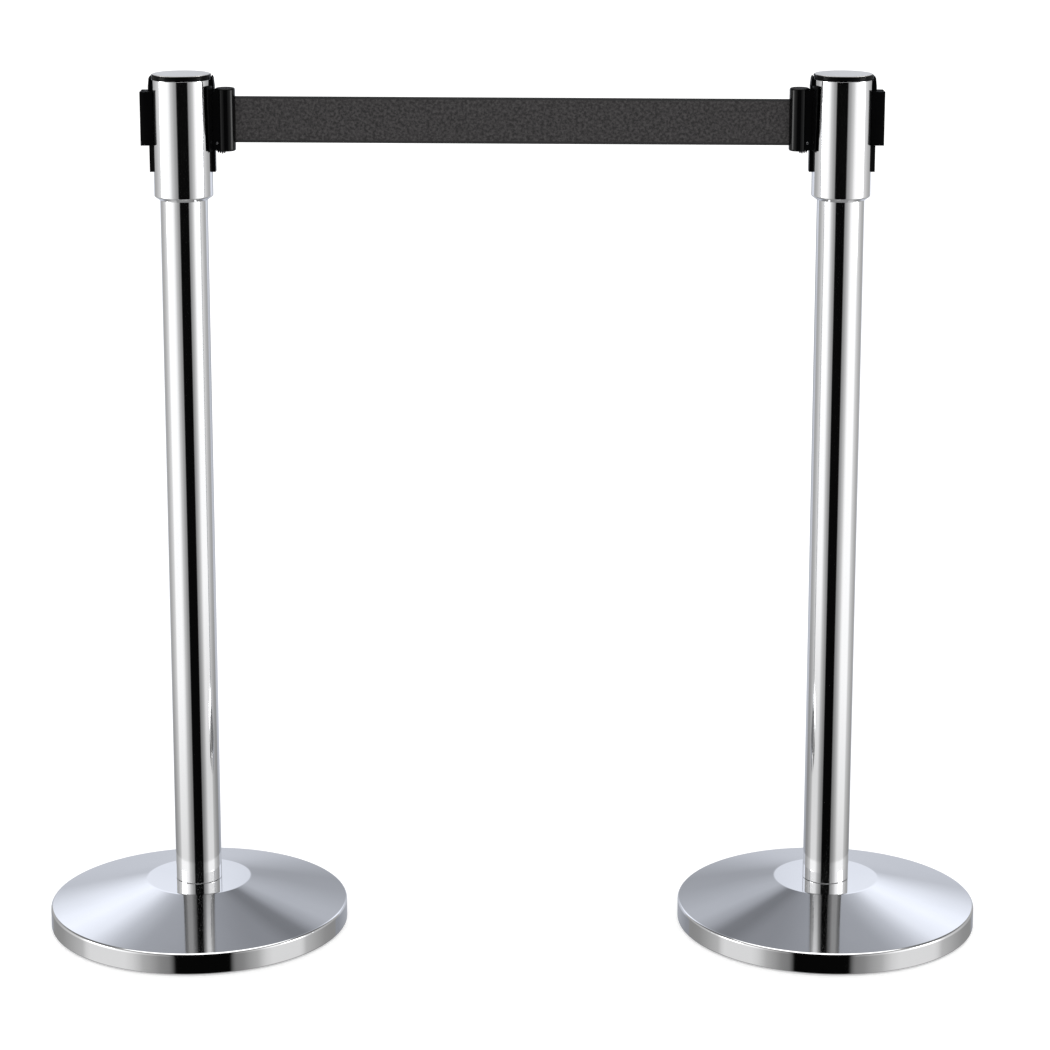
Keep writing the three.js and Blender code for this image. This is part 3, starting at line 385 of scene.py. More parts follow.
# %% [markdown]
# ## The studio that the steel reflects
# A mirror has no look of its own: what shows on polished steel is the room. Such posts are
# photographed between two tall soft boxes, with the dark room behind the camera between them. The
# room is built as an upright drum round the barrier, with the soft boxes as soft bands on its
# wall. At a real distance, unlike on a sky, each post mirrors the dark part in its own middle.
# The bands are written by angle, from 0 behind the camera to 180 behind the posts, and their
# light falls off to the floor and to the ceiling. Inside each soft box its flash is brighter
# still. Steel shows both as plain white, but black plastic mirrors so little that only the flash
# makes a highlight on it.

# %% Stand the drum with the soft boxes
STUDIO_BANDS = (  # (degrees, brightness)
    *((0, 0.003), (20.5, 0.003), (23, 0.2), (25, 0.32), (31.5, 0.39), (36.5, 0.52)),
    *((44, 0.68), (47.5, 0.86), (52, 1.05), (58, 1.18), (86, 1.18), (90, 1.05)),
    *((94, 0.78), (109, 0.58), (120, 0.46), (131, 0.42), (180, 0.42)),
)
STUDIO_HEIGHTS = (  # (height, share of the brightness)
    *((-3.0, 0.5), (-1.3, 0.62), (-0.97, 0.68), (-0.81, 0.66), (-0.41, 0.93), (0.0, 1.0)),
    *((0.95, 1.0), (1.6, 0.4), (2.5, 0.25), (3.3, 0.3), (4.0, 0.9)),
)
FLASH_BANDS = ((0, 0.0), (64, 0.0), (69, 4.5), (85, 4.5), (90, 0.0), (180, 0.0))
FLASH_HEIGHTS = ((0.0, 0.0), (0.35, 0.0), (0.42, 1.0), (0.95, 1.0), (1.0, 0.0), (1.5, 0.0))
DRUM_RADIUS = 2.6
DRUM_STEPS = 128

heights = (STUDIO_HEIGHTS[0][0], STUDIO_HEIGHTS[-1][0])
ring = polar(DRUM_RADIUS, full_turn(DRUM_STEPS))
points = [(side, -forward, z) for z in heights for forward, side in ring]
drum = new_object("studio_drum", new_mesh("studio_drum", points, walls(DRUM_STEPS)))


def drum_brightness(tree):
    _, axes = object_place(tree)
    angle = calc(tree, "ARCTAN2", calc(tree, "ABSOLUTE", axes[0]), times(tree, axes[1], -1.0))
    degrees = calc(tree, "DEGREES", angle)
    box, flash = (
        times(tree, by_place(tree, degrees, bands), by_place(tree, axes[2], heights))
        for bands, heights in ((STUDIO_BANDS, STUDIO_HEIGHTS), (FLASH_BANDS, FLASH_HEIGHTS))
    )
    return calc(tree, "ADD", box, flash)


glowing(drum, "soft_boxes", (1.0, 1.0, 1.0), drum_brightness)
for_mirrors_only(drum)
print("drum:", 2 * DRUM_RADIUS, "m wide")

# %% [markdown]
# ## Surface effects that several finishes share
# Each effect is a node group that is built once. It reads the place on the object and puts out
# masks and values only, and each material decides what they do. `post_axis` gives places about
# the axis of the nearer post, because both posts have the same finish.

# %% Group: places about the nearer post's axis


def new_group(name, inputs, outputs):
    """A shader group. inputs maps names to values, and outputs maps names to kinds of socket."""
    group = bpy.data.node_groups.new(name, "ShaderNodeTree")
    for title, value in inputs.items():
        socket = group.interface.new_socket(title, in_out="INPUT", socket_type="NodeSocketFloat")
        socket.default_value = value
    for title, kind in outputs.items():
        group.interface.new_socket(title, in_out="OUTPUT", socket_type="NodeSocket" + kind)
    return group, add(group, "NodeGroupInput").outputs


def use_group(tree, group, **values):
    """Places a group, with values by the names of its inputs."""
    node = add(tree, "ShaderNodeGroup", node_tree=group)
    for name, value in values.items():
        node.inputs[name].default_value = value
    return node.outputs


POST_AXIS, _ = new_group("post_axis", {}, {"Place": "Vector"})
_, axes = object_place(POST_AXIS)
inward = calc(POST_AXIS, "SUBTRACT", calc(POST_AXIS, "ABSOLUTE", axes[0]), POST_X)
add(POST_AXIS, "NodeGroupOutput", {0: vector(POST_AXIS, inward, axes[1], axes[2])})
print("group:", POST_AXIS.name)

# %% Group: fine haze of polishing and wiping
STREAKS_PER_HAZE = 30.0

POLISH, values = new_group(
    "polish_haze", {"Stretch": 1.0, "Size": 40.0}, {"Haze": "Float", "Streak": "Float"}
)
place = use_group(POLISH, POST_AXIS)[0]
drawn = scaled(POLISH, place, vector(POLISH, 1.0, 1.0, values[0]))
haze = add(POLISH, "ShaderNodeTexNoise", {"Vector": drawn, "Scale": values[1], "Detail": 4.0})
finer = times(POLISH, values[1], STREAKS_PER_HAZE)
streak = add(POLISH, "ShaderNodeTexNoise", {"Vector": drawn, "Scale": finer})
add(POLISH, "NodeGroupOutput", {0: haze.outputs[0], 1: streak.outputs[0]})
print("group:", POLISH.name)

# %% Group: the fine, sparkle-free grain of moulded plastic and rubber
GRAINS_PER_CLOUD = 60.0

GRAIN, values = new_group("moulded_grain", {"Size": 2500.0}, {"Grain": "Float", "Cloud": "Float"})
place = add(GRAIN, "ShaderNodeTexCoord").outputs["Object"]
fine = add(GRAIN, "ShaderNodeTexNoise", {"Vector": place, "Scale": values[0], "Detail": 2.0})
coarser = calc(GRAIN, "DIVIDE", values[0], GRAINS_PER_CLOUD)
cloud = add(GRAIN, "ShaderNodeTexNoise", {"Vector": place, "Scale": coarser})
add(GRAIN, "NodeGroupOutput", {0: fine.outputs[0], 1: cloud.outputs[0]})
print("group:", GRAIN.name)

# %% [markdown]
# `facing_up` marks the faces that look up. On black mouldings they are duller than the sides, so
# that the tops of rails, wings and receivers don't mirror the bright room above them.

# %% Group: the faces that look up
FACING_UP = (0.6, 0.9)  # height of the face's normal where the mask starts and where it is full

UPWARD, _ = new_group("facing_up", {}, {"Mask": "Float"})
rise = split(UPWARD, add(UPWARD, "ShaderNodeNewGeometry").outputs["Normal"])[2]
mask = add(UPWARD, "ShaderNodeMapRange", {0: rise, 1: FACING_UP[0], 2: FACING_UP[1]}).outputs[0]
add(UPWARD, "NodeGroupOutput", {0: mask})
print("group:", UPWARD.name)

# %% [markdown]
# ## Finishes
# Polished steel is a mirror with a very light haze. Satin steel on the cap discs is brushed
# straight across. The plastic is near black, dull on the flat mouldings and glossy on the
# barrels. Hidden steel parts are zinc plated, and the weights are rough iron. Every finish starts
# from the same Principled shader.

# %% Make the finishes
GLOSS_SPREAD = 0.2  # share by which a moulded finish's roughness goes up and down


def principled(tree, colour, roughness, normal, settings):
    inputs = {"Base Color": colour, "Roughness": roughness, "Normal": normal, **settings}
    shader = add(tree, "ShaderNodeBsdfPrincipled", inputs)
    add(tree, "ShaderNodeOutputMaterial", {0: shader.outputs[0]})


def shade_between(tree, factor, dark, light):
    """A colour between two colours, each written without its alpha."""
    return mixed_colour(tree, factor, (*dark, 1), (*light, 1))


def bump(tree, height, strength, depth):
    inputs = {"Strength": strength, "Distance": depth, "Height": height}
    return add(tree, "ShaderNodeBump", inputs).outputs[0]


def polished_steel():
    material, tree = new_material("polished_steel")
    haze, streak = use_group(tree, POLISH, Stretch=0.15, Size=14.0)[:2]
    colour = shade_between(tree, haze, (0.83, 0.835, 0.845), (0.9, 0.9, 0.905))
    roughness = between(tree, haze, 0.035, 0.085)
    principled(tree, colour, roughness, bump(tree, streak, 0.02, 0.0002), {"Metallic": 1.0})
    return material


def satin_steel():
    """Brushed straight across, from front to back."""
    material, tree = new_material("satin_steel")
    lines = scaled(tree, use_group(tree, POST_AXIS)[0], (4.0, 160.0, 4.0))
    noise = {"Vector": lines, "Scale": 14.0, "Detail": 5.0}
    brushed = add(tree, "ShaderNodeTexNoise", noise).outputs[0]
    colour = shade_between(tree, brushed, (0.53, 0.515, 0.487), (0.64, 0.622, 0.588))
    roughness = between(tree, brushed, 0.24, 0.38)
    principled(tree, colour, roughness, bump(tree, brushed, 0.25, 0.0001), {"Metallic": 1.0})
    return material


def moulded(
    name, dark, light, roughness, depth=0.00004, size=2500.0, shine=0.5, top=None, metal=0.0
):
    """A moulded finish: a soft cloud in its colour and gloss, and a fine grain.
    top is the roughness of the faces that look up, where the mould leaves them duller."""
    material, tree = new_material(name)
    grain, cloud = use_group(tree, GRAIN, Size=size)[:2]
    duller, glossier = roughness * (1 + GLOSS_SPREAD), roughness * (1 - GLOSS_SPREAD)
    dullness = between(tree, cloud, glossier, duller)
    if top:
        dullness = mixed(tree, use_group(tree, UPWARD)[0], dullness, top)
    colour = shade_between(tree, cloud, dark, light)
    settings = {"Specular IOR Level": shine, "Metallic": metal}
    principled(tree, colour, dullness, bump(tree, grain, 0.3, depth), settings)
    return material


def bare_metal(name, dark, light, roughness):
    """A plated, drawn or cast metal: mottled in colour and gloss."""
    return moulded(name, dark, light, roughness, depth=0.0002, size=600.0, metal=1.0)


BLACKS = ((0.0016, 0.0016, 0.0018), (0.003, 0.003, 0.0032))
GREYS = ((0.08, 0.085, 0.09), (0.12, 0.125, 0.13))
RUBBERS = ((0.006, 0.006, 0.006), (0.014, 0.014, 0.014))
FINISHES = {
    "mirror_steel": polished_steel(),
    "satin_steel": satin_steel(),
    "zinc_steel": bare_metal("zinc_plate", (0.42, 0.43, 0.44), (0.62, 0.63, 0.64), 0.38),
    "spring_steel": bare_metal("spring_steel", (0.1, 0.11, 0.13), (0.2, 0.21, 0.24), 0.35),
    "cast_iron": bare_metal("cast_iron", (0.03, 0.03, 0.031), (0.07, 0.07, 0.07), 0.7),
    "black_plastic": moulded("black_plastic", *BLACKS, 0.2, shine=0.05, top=0.6),
    "glossy_plastic": moulded("glossy_plastic", *BLACKS, 0.08, shine=0.22, top=0.6),
    "grey_plastic": moulded("grey_plastic", *GREYS, 0.45),
    "black_rubber": moulded("black_rubber", *RUBBERS, 0.75, depth=0.0001),
}
print("finishes:", ", ".join(FINISHES))

# %% [markdown]
# ## The belt's weave
# The belt is a plain polyester webbing with a smooth woven edge. Its threads are about a
# millimetre apart. Modelling them would take millions of faces, so the weave is a pattern in
# height and colour: warp threads run along the belt, weft threads cross them, and each crossing
# lies over or under. The pattern is built as a group from waves on the object's own coordinates.

# %% Group: woven threads
BELT_START, BELT_END = -0.2951, 0.2951
START_HEIGHT, END_HEIGHT = 0.9021, 0.8989
SPECKLES = 330.0  # a metre

WEAVE, values = new_group(
    "webbing_weave",
    {"Thread": 0.0011, "Selvedge from": 0.022},
    {"Height": "Float", "Speckle": "Float", "Selvedge": "Float"},
)
place, axes = object_place(WEAVE)
fall = {0: axes[0], 1: BELT_START, 2: BELT_END, 3: START_HEIGHT, 4: END_HEIGHT}
middle = add(WEAVE, "ShaderNodeMapRange", fall).outputs[0]
across = calc(WEAVE, "SUBTRACT", axes[2], middle)
wave = calc(WEAVE, "DIVIDE", math.pi, values[0])
warp, weft = (calc(WEAVE, "SINE", times(WEAVE, axis, wave)) for axis in (across, axes[0]))
height = calc(WEAVE, "ABSOLUTE", times(WEAVE, warp, weft))
noise = {"Vector": place, "Scale": SPECKLES, "Detail": 3.0, "Roughness": 0.7}
speckle = add(WEAVE, "ShaderNodeTexNoise", noise).outputs[0]
selvedge = calc(WEAVE, "GREATER_THAN", calc(WEAVE, "ABSOLUTE", across), values[1])
add(WEAVE, "NodeGroupOutput", {0: height, 1: speckle, 2: selvedge})
print("group:", WEAVE.name)

# %% Make the belt's finish
THREADS = ((0.0095, 0.0085, 0.009), (0.072, 0.067, 0.068))
SELVEDGE = (0.022, 0.022, 0.023, 1)
THREAD_SHARE = 0.35  # of the pattern in the colour; the rest is the speckle's
SPECKLE_STOPS = ((0.4, 0.0), (0.62, 1.0))


def woven_belt():
    material, tree = new_material("woven_belt")
    height, speckle, selvedge = use_group(tree, WEAVE)[:3]
    sharp = ramp(tree, speckle, SPECKLE_STOPS)
    speckled = times(tree, sharp, 1 - THREAD_SHARE)
    threads = calc(tree, "MULTIPLY_ADD", height, THREAD_SHARE, speckled)
    colour = mixed_colour(tree, selvedge, shade_between(tree, threads, *THREADS), SELVEDGE)
    roughness = between(tree, height, 0.9, 0.75)
    sheen = {"Sheen Weight": 0.15, "Sheen Roughness": 0.4}
    principled(tree, colour, roughness, bump(tree, height, 0.35, 0.00025), sheen)
    return material


FINISHES["woven_belt"] = woven_belt()
print("threads:", THREADS)

# %% [markdown]
# ## The nodes that stay as they are
# The inner pieces keep the shapes of the frame. Each takes the finish that the record names for
# it. Those that show, or nearly show, get their own finished shape further down.

# %% Finish every node of the frame


def coat(mesh, finish):
    """Gives a mesh one finish and no other."""
    mesh.materials.clear()
    mesh.materials.append(FINISHES[finish])


for entry in frame["record"]["subparts"]:
    coat(frame["nodes"][entry["node"]].data, entry["material_slot"])

# %% [markdown]
# ## Profiles with rounded corners
# Pressed and turned steel has no sharp corners. A profile is written as its corners, each with
# the radius that rounds it. A guard point just past each arc keeps the shading of the flats flat,
# because on a mirror even a slight bend in the shading shows.

# %% Helpers for profiles and pieces
GUARD = 0.3 * MM
ARC_STEPS = 5
TINY = 1e-6
SHARP_ANGLE = 35  # degrees between faces, above which their edge stays sharp


def rounded(corners, steps=ARC_STEPS):
    """Turns corners (x, y, radius) of a closed outline into its points."""
    points = []
    for i, (x, y, radius) in enumerate(corners):
        corner = Vector((x, y))
        if radius == 0:
            points.append(corner)
            continue
        back = (Vector(corners[i - 1][:2]) - corner).normalized()
        ahead = (Vector(corners[(i + 1) % len(corners)][:2]) - corner).normalized()
        half = back.angle(ahead) / 2
        reach = radius / math.tan(half)
        centre = corner + (back + ahead).normalized() * radius / math.sin(half)
        first, last = corner + back * reach - centre, corner + ahead * reach - centre
        arc = (first.slerp(last, k / steps).normalized() for k in range(steps + 1))
        points.append(corner + back * (reach + GUARD))
        points.extend(centre + way * radius for way in arc)
        points.append(corner + ahead * (reach + GUARD))
    return points


def at_post(side, u, v, z):
    """A place by its reach u towards the other post and v across, on the left or the right post."""
    turn = SIDES[side]
    return turn * (POST_X - u), -turn * v, z


def smooth(mesh, sharp=SHARP_ANGLE):
    """Smooth faces, with sharp edges where they meet at more than an angle."""
    mesh.shade_smooth()
    mesh.set_sharp_from_angle(angle=math.radians(sharp))


def make_piece(name, points, faces, finish, sharp=SHARP_ANGLE):
    mesh = new_mesh(name, points, faces)
    smooth(mesh, sharp)
    coat(mesh, finish)
    return new_object(name, mesh)


def turned(name, side, profile, finish, steps=192, reach=0):
    """Turns a closed (radius, height) outline, written counter-clockwise, round an upright axis."""
    points, rings = [], []
    for radius, height in profile:
        angles = full_turn(steps) if radius > TINY else [0]
        rings.append(range(len(points), len(points) + len(angles)))
        points += [at_post(side, reach + u, v, height) for u, v in polar(radius, angles)]
    faces = []
    for ring, after in zip(rings, rings[1:] + rings[:1]):
        for k in range(steps if max(len(ring), len(after)) > 1 else 0):
            corner = [ring[k % len(ring)], ring[(k + 1) % len(ring)]]
            corner += [after[(k + 1) % len(after)], after[k % len(after)]]
            faces.append(tuple(dict.fromkeys(corner)))
    return make_piece(name, points, faces, finish)


def dress(obj, body, node=None):
    """Adds a finished piece to a body, in the place of its node if it has one."""
    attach(obj, body)
    if node:
        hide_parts(node)
    print(f"{obj.name}: {len(obj.data.polygons)} faces")


def turn_for_both(*pieces):
    """Turns pieces for each post and dresses the post with them. Each piece is written as its
    title, node, profile and finish, and its number of steps where that isn't the usual one."""
    for side in SIDES:
        for title, node, profile, finish, *steps in pieces:
            piece = turned(f"{side}_{title}", side, profile, finish, *steps)
            dress(piece, f"{side}_post", f"{side}_{node}")


# %% [markdown]
# ## Bases
# Each base is a cast weight under a pressed cover of polished steel: a flat plateau round the
# tube, a shallow cone, a rolled edge and an upright rim that is turned in below. Pressing a sheet
# gives one wall thickness all over, so the profile goes out along the top and comes back
# underneath. A turned profile is exact and keeps the reflections clean.

# %% Turn the base covers and floor rings
COVER_WALL = 1.2 * MM
COVER_STEPS = 256
COVER_ARC_STEPS = 8
RIM_ROLL = 3.2 * MM
HEM_WIDTH = 5 * MM
HEM_ROLL = 1.6 * MM
RIM_TOP = 24.5 * MM
PLATEAU_RADIUS = 57.8 * MM
PLATEAU_BEND = 9 * MM
BOLT_HOLE = 5.3 * MM
RING_WIDTH = 20 * MM
RING_ROUND = 0.8 * MM

cover_foot, plateau = span("left_base_cover", 2)
cone_slope = math.atan2(plateau - RIM_TOP, BASE_RADIUS - PLATEAU_RADIUS)
wall_drop = COVER_WALL / math.cos(cone_slope)
under_plateau = plateau - COVER_WALL
inside_bend = PLATEAU_RADIUS - COVER_WALL * math.tan(cone_slope / 2)
cover_profile = rounded(
    [
        (BOLT_HOLE, under_plateau, 0),
        (inside_bend, under_plateau, PLATEAU_BEND + COVER_WALL),
        (BASE_RADIUS - COVER_WALL, RIM_TOP - wall_drop, RIM_ROLL - COVER_WALL),
        (BASE_RADIUS - COVER_WALL, cover_foot + COVER_WALL, 0),
        (BASE_RADIUS - HEM_WIDTH, cover_foot + COVER_WALL, 0),
        (BASE_RADIUS - HEM_WIDTH, cover_foot, 0),
        (BASE_RADIUS, cover_foot, HEM_ROLL),
        (BASE_RADIUS, RIM_TOP, RIM_ROLL),
        (PLATEAU_RADIUS, plateau, PLATEAU_BEND),
        (BOLT_HOLE, plateau, 0),
    ],
    COVER_ARC_STEPS,
)
ring_outer = radius_of("left_floor_ring")
corners = rectangle((ring_outer - RING_WIDTH, ring_outer), span("left_floor_ring", 2))
ring_profile = rounded([(r, z, RING_ROUND) for r, z in corners])
turn_for_both(
    ("cover_shell", "base_cover", cover_profile, "mirror_steel", COVER_STEPS),
    ("foot_ring", "floor_ring", ring_profile, "black_rubber"),
)

# %% [markdown]
# ## Tubes
# The tube is drawn and polished, with its two ends cut square and just broken at the edge. It
# stands on the plateau and ends inside the head's sleeve.

# %% Turn the tubes
TUBE_WALL = 1.2 * MM
EDGE_BREAK = 0.3 * MM
TUBE_ARC_STEPS = 3

corners = rectangle((TUBE_RADIUS - TUBE_WALL, TUBE_RADIUS), span("left_post_tube", 2))
tube_profile = rounded([(r, z, EDGE_BREAK) for r, z in corners], TUBE_ARC_STEPS)
turn_for_both(("tube_shell", "post_tube", tube_profile, "mirror_steel"))

# %% [markdown]
# ## Caps
# A black ring closes the sleeve. A satin steel disc is let into it and stands half a millimetre
# proud, so that a narrow black rim shows round it. The ring has a skirt inside the head, as the
# frame's node has. Only its band shows, but the whole piece is turned, so that it is complete
# when the cap is looked at from below.

# %% Turn the cap rings and discs
CAP_RIM = 0.6 * MM
RING_EDGE = 0.5 * MM
DISC_EDGE = 0.2 * MM
DISC_RISE = 0.5 * MM
SKIRT_WALL = 1.6 * MM
SKIRT_RADIUS = 27.6 * MM
SKIRT_DEPTH = 6 * MM
BOSS_RADIUS = 6 * MM
SPINDLE_SEAT = 3.3 * MM

cap_low = span("left_cap_ring", 2)[0]
disc_low, cap_top = span("left_cap_disc", 2)
disc_top = cap_top + DISC_RISE
disc_radius = radius_of("left_cap_disc")
sleeve_low, sleeve_top = span("left_head_sleeve", 2)
cap_foot = sleeve_top + CLEARANCE
cap_floor = cap_foot - SKIRT_WALL
cap_profile = rounded(
    [
        (0, cap_floor, 0),
        (SPINDLE_SEAT, cap_floor, 0),
        (SPINDLE_SEAT, cap_low, 0),
        (BOSS_RADIUS, cap_low, EDGE_BREAK),
        (BOSS_RADIUS, cap_floor, 0),
        (SKIRT_RADIUS - SKIRT_WALL, cap_floor, 0),
        (SKIRT_RADIUS - SKIRT_WALL, cap_foot - SKIRT_DEPTH, 0),
        (SKIRT_RADIUS, cap_foot - SKIRT_DEPTH, 0),
        (SKIRT_RADIUS, cap_foot, 0),
        (SLEEVE_RADIUS, cap_foot, EDGE_BREAK),
        (SLEEVE_RADIUS, cap_top, RING_EDGE),
        (SLEEVE_RADIUS - CAP_RIM, cap_top, 0),
        (SLEEVE_RADIUS - CAP_RIM, disc_low - CLEARANCE, 0),
        (0, disc_low - CLEARANCE, 0),
    ]
)
corners = rectangle((0, disc_radius), (disc_low, disc_top))
disc_profile = rounded([(*place, edge) for place, edge in zip(corners, (0, 0, DISC_EDGE, 0))])
turn_for_both(
    ("cap_moulding", "cap_ring", cap_profile, "black_plastic"),
    ("cap_plate", "cap_disc", disc_profile, "satin_steel"),
)

# %% [markdown]
# ## Head sleeves
# The sleeve is a wider polished tube. Its foot is drawn in to the post's tube by a short chamfer,
# and a slot down each side lets the moulded rails out. It could be cut with Booleans, but a cut
# mirror shades badly. So the wall is laid out as a grid of columns and rows that already has the
# slots.

# %% Lay out the sleeves
SLEEVE_WALL = 1.2 * MM
SLEEVE_LIP = TUBE_RADIUS + CLEARANCE
SLEEVE_BEND = 2.2 * MM
SLEEVE_CHAMFER = 4.2 * MM
SLEEVE_ARC_STEPS = 6
SLEEVE_SHARP = 50
SLEEVE_COLUMNS = 64  # in each half, between the slots
SLOT_COLUMNS = 10
RAIL_HALF = 6 * MM
RAIL_FOOT = 846.5 * MM

slot_foot = RAIL_FOOT - CLEARANCE
sleeve_corner = sleeve_low + SLEEVE_CHAMFER
slot_angle = math.asin((RAIL_HALF + CLEARANCE) / SLEEVE_RADIUS)
inner = SLEEVE_RADIUS - SLEEVE_WALL
sleeve_section = rounded(
    [
        (inner, sleeve_corner + SLEEVE_WALL / 2, 0),
        (SLEEVE_LIP, sleeve_low + SLEEVE_WALL, 0),
        (SLEEVE_LIP, sleeve_low, EDGE_BREAK),
        (SLEEVE_RADIUS, sleeve_corner, SLEEVE_BEND),
        (SLEEVE_RADIUS, slot_foot, 0),
        (SLEEVE_RADIUS, sleeve_top, EDGE_BREAK),
        (inner, sleeve_top, EDGE_BREAK),
        (inner, slot_foot, 0),
    ],
    SLEEVE_ARC_STEPS,
)


def sleeve_angles():
    """Angles of the columns, and which gaps between them lie in a slot."""
    angles, slotted = [], []
    for turn in (0, math.pi):
        angles += steps_between(turn - slot_angle, turn + slot_angle, SLOT_COLUMNS)[:-1]
        angles += steps_between(turn + slot_angle, turn + math.pi - slot_angle, SLEEVE_COLUMNS)[:-1]
        slotted += [True] * SLOT_COLUMNS + [False] * SLEEVE_COLUMNS
    return angles, slotted


def is_outer_slot_foot(radius, height):
    return radius > inner + EDGE_BREAK and abs(height - slot_foot) < TINY


def sleeve(side):
    angles, slotted = sleeve_angles()
    count = len(sleeve_section)
    points = [
        at_post(side, r * math.cos(a), r * math.sin(a), z)
        for a in angles
        for r, z in sleeve_section
    ]
    outer_foot = next(j for j, place in enumerate(sleeve_section) if is_outer_slot_foot(*place))
    inner_foot = count - 1
    above = list(range(outer_foot, inner_foot + 1))
    faces = []
    for i, in_slot in enumerate(slotted):
        here, there = i * count, (i + 1) % len(angles) * count
        for j in range(count):
            k = (j + 1) % count
            if not (in_slot and j in above[:-1]):
                faces.append((here + j, there + j, there + k, here + k))
        if in_slot:
            foot = (here + outer_foot, there + outer_foot, there + inner_foot, here + inner_foot)
            faces.append(foot)
        if in_slot != slotted[i - 1]:
            wall = [here + j for j in above]
            faces.append(tuple(wall if in_slot else reversed(wall)))
    return make_piece(f"{side}_sleeve_shell", points, faces, "mirror_steel", SLEEVE_SHARP)


for side in SIDES:
    dress(sleeve(side), f"{side}_post", f"{side}_head_sleeve")

# %% [markdown]
# ## Moulded rails and receivers
# The core in each sleeve is one moulding. Its two rails stand out through the slots, and their
# upper ends show beside the cap as two small prongs. The shape in the frame is right, but its
# edges are knife sharp, and it is made of loose triangles. A copy is merged and cleared of the
# lines inside its flats, so that a Bevel modifier can break its real edges, as the mould does.
# The outer receivers are softened in the same way.

# %% Soften the moulded nodes
CORE_EDGE = 0.35 * MM
RECEIVER_EDGE = 0.5 * MM
RECEIVER_RISE = 2.6 * MM
FLAT_ANGLE = 1  # degrees between faces that count as one flat
BEVEL_ANGLE = 30
SOFTENED_SHARP = 40


def as_mesh(obj):
    """Turns an object with modifiers into a plain mesh object of the same name."""
    graph = bpy.context.evaluated_depsgraph_get()
    mesh = bpy.data.meshes.new_from_object(obj.evaluated_get(graph))
    obj.modifiers.clear()
    obj.data = mesh


def softened(name, node, width, segments, rise=0):
    """A copy of a node with its edges rounded. rise lifts its top face."""
    work = bmesh.new()
    work.from_mesh(frame["nodes"][node].data)
    bmesh.ops.remove_doubles(work, verts=work.verts, dist=TINY)
    top = max(corner.co.z for corner in work.verts)
    for corner in work.verts:
        if corner.co.z > top - CLEARANCE:
            corner.co.z += rise
    flat = math.radians(FLAT_ANGLE)
    bmesh.ops.dissolve_limit(work, angle_limit=flat, verts=work.verts, edges=work.edges)
    mesh = bpy.data.meshes.new(name)
    work.to_mesh(mesh)
    work.free()
    obj = new_object(name, mesh)
    bevel = obj.modifiers.new("edges", "BEVEL")
    bevel.width, bevel.segments, bevel.limit_method = width, segments, "ANGLE"
    bevel.angle_limit = math.radians(BEVEL_ANGLE)
    bevel.use_clamp_overlap = True
    as_mesh(obj)
    smooth(obj.data, SOFTENED_SHARP)
    coat(obj.data, "black_plastic")
    return obj


for side in SIDES:
    for title, node, *rounding in (
        ("core_moulding", "head_core", CORE_EDGE, 2),
        ("receiver_moulding", "outer_receiver", RECEIVER_EDGE, 3, RECEIVER_RISE),
    ):
        piece = softened(f"{side}_{title}", f"{side}_{node}", *rounding)
        dress(piece, f"{side}_post", f"{side}_{node}")

# %% [markdown]
# ## Outlet nose and belt clip
# The two are mouldings of one outline: two wings that hug the sleeve, a short web and an upright
# barrel with a dished top. They are built as separate rounded bodies, which Booleans then join
# and cut, because that keeps the barrel truly round and each rounding as large as it is on the
# piece.

# %% Helpers for joined bodies
DRILL_STEPS = 24


def outline_body(name, side, outline, foot, top):
    """An upright body from a counter-clockwise outline of (u, v) places."""
    count = len(outline)
    points = [at_post(side, u, v, z) for z in (foot, top) for u, v in outline]
    return make_piece(name, points, lids(count) + walls(count), "black_plastic")


def block(side, u, v, z):
    """A plain block between pairs of places, as a tool for cutting or joining."""
    return outline_body("tool", side, rectangle(u, v), *z)


def drill(side, place, radius, v):
    """A round tool from front to back between two places across, at a place (u, z)."""
    ring = [(place[0] + b, place[1] + a) for a, b in polar(radius, full_turn(DRILL_STEPS))]
    points = [at_post(side, u, across, z) for across in sorted(v) for u, z in ring]
    return make_piece("tool", points, lids(DRILL_STEPS) + walls(DRILL_STEPS), "black_plastic")


def fused(name, body, joined, cuts):
    """Joins bodies to the first one and takes the cuts away, then removes the tools."""
    for operation, tools in (("UNION", joined), ("DIFFERENCE", cuts)):
        for tool in tools:
            modifier = body.modifiers.new(operation, "BOOLEAN")
            modifier.operation, modifier.object, modifier.solver = operation, tool, "EXACT"
            modifier.material_mode = "TRANSFER"
    as_mesh(body)
    for tool in (*joined, *cuts):
        bpy.data.objects.remove(tool)
    body.name = body.data.name = name
    work = bmesh.new()
    work.from_mesh(body.data)
    bmesh.ops.remove_doubles(work, verts=work.verts, dist=TINY)
    bmesh.ops.dissolve_degenerate(work, dist=TINY, edges=work.edges)
    work.to_mesh(body.data)
    work.free()
    smooth(body.data)
    return body


# %% Shape the wings and the barrel
WING_WALL = 2.5 * MM
WING_FOOT, WING_TOP = 869.4 * MM, 938.8 * MM
WING_EDGE_TOP, WING_EDGE_FOOT = 28 * MM, 29.3 * MM
WING_ROUND = 0.45 * MM
WING_EDGE = 0.8 * MM
WING_TIP = 3 * MM  # room on the outside for the rounding of the free edge
WING_COLUMNS = 40
ROUND_STEPS = 4
BARREL_RADIUS = 10.6 * MM
BARREL_REACH = 46.1 * MM
BARREL_ROUND = 1.9 * MM
BARREL_FOOT, BARREL_TOP = 868.6 * MM, 935.6 * MM
DISH_RADIUS = 7.7 * MM
DISH_DEPTH = 0.5 * MM

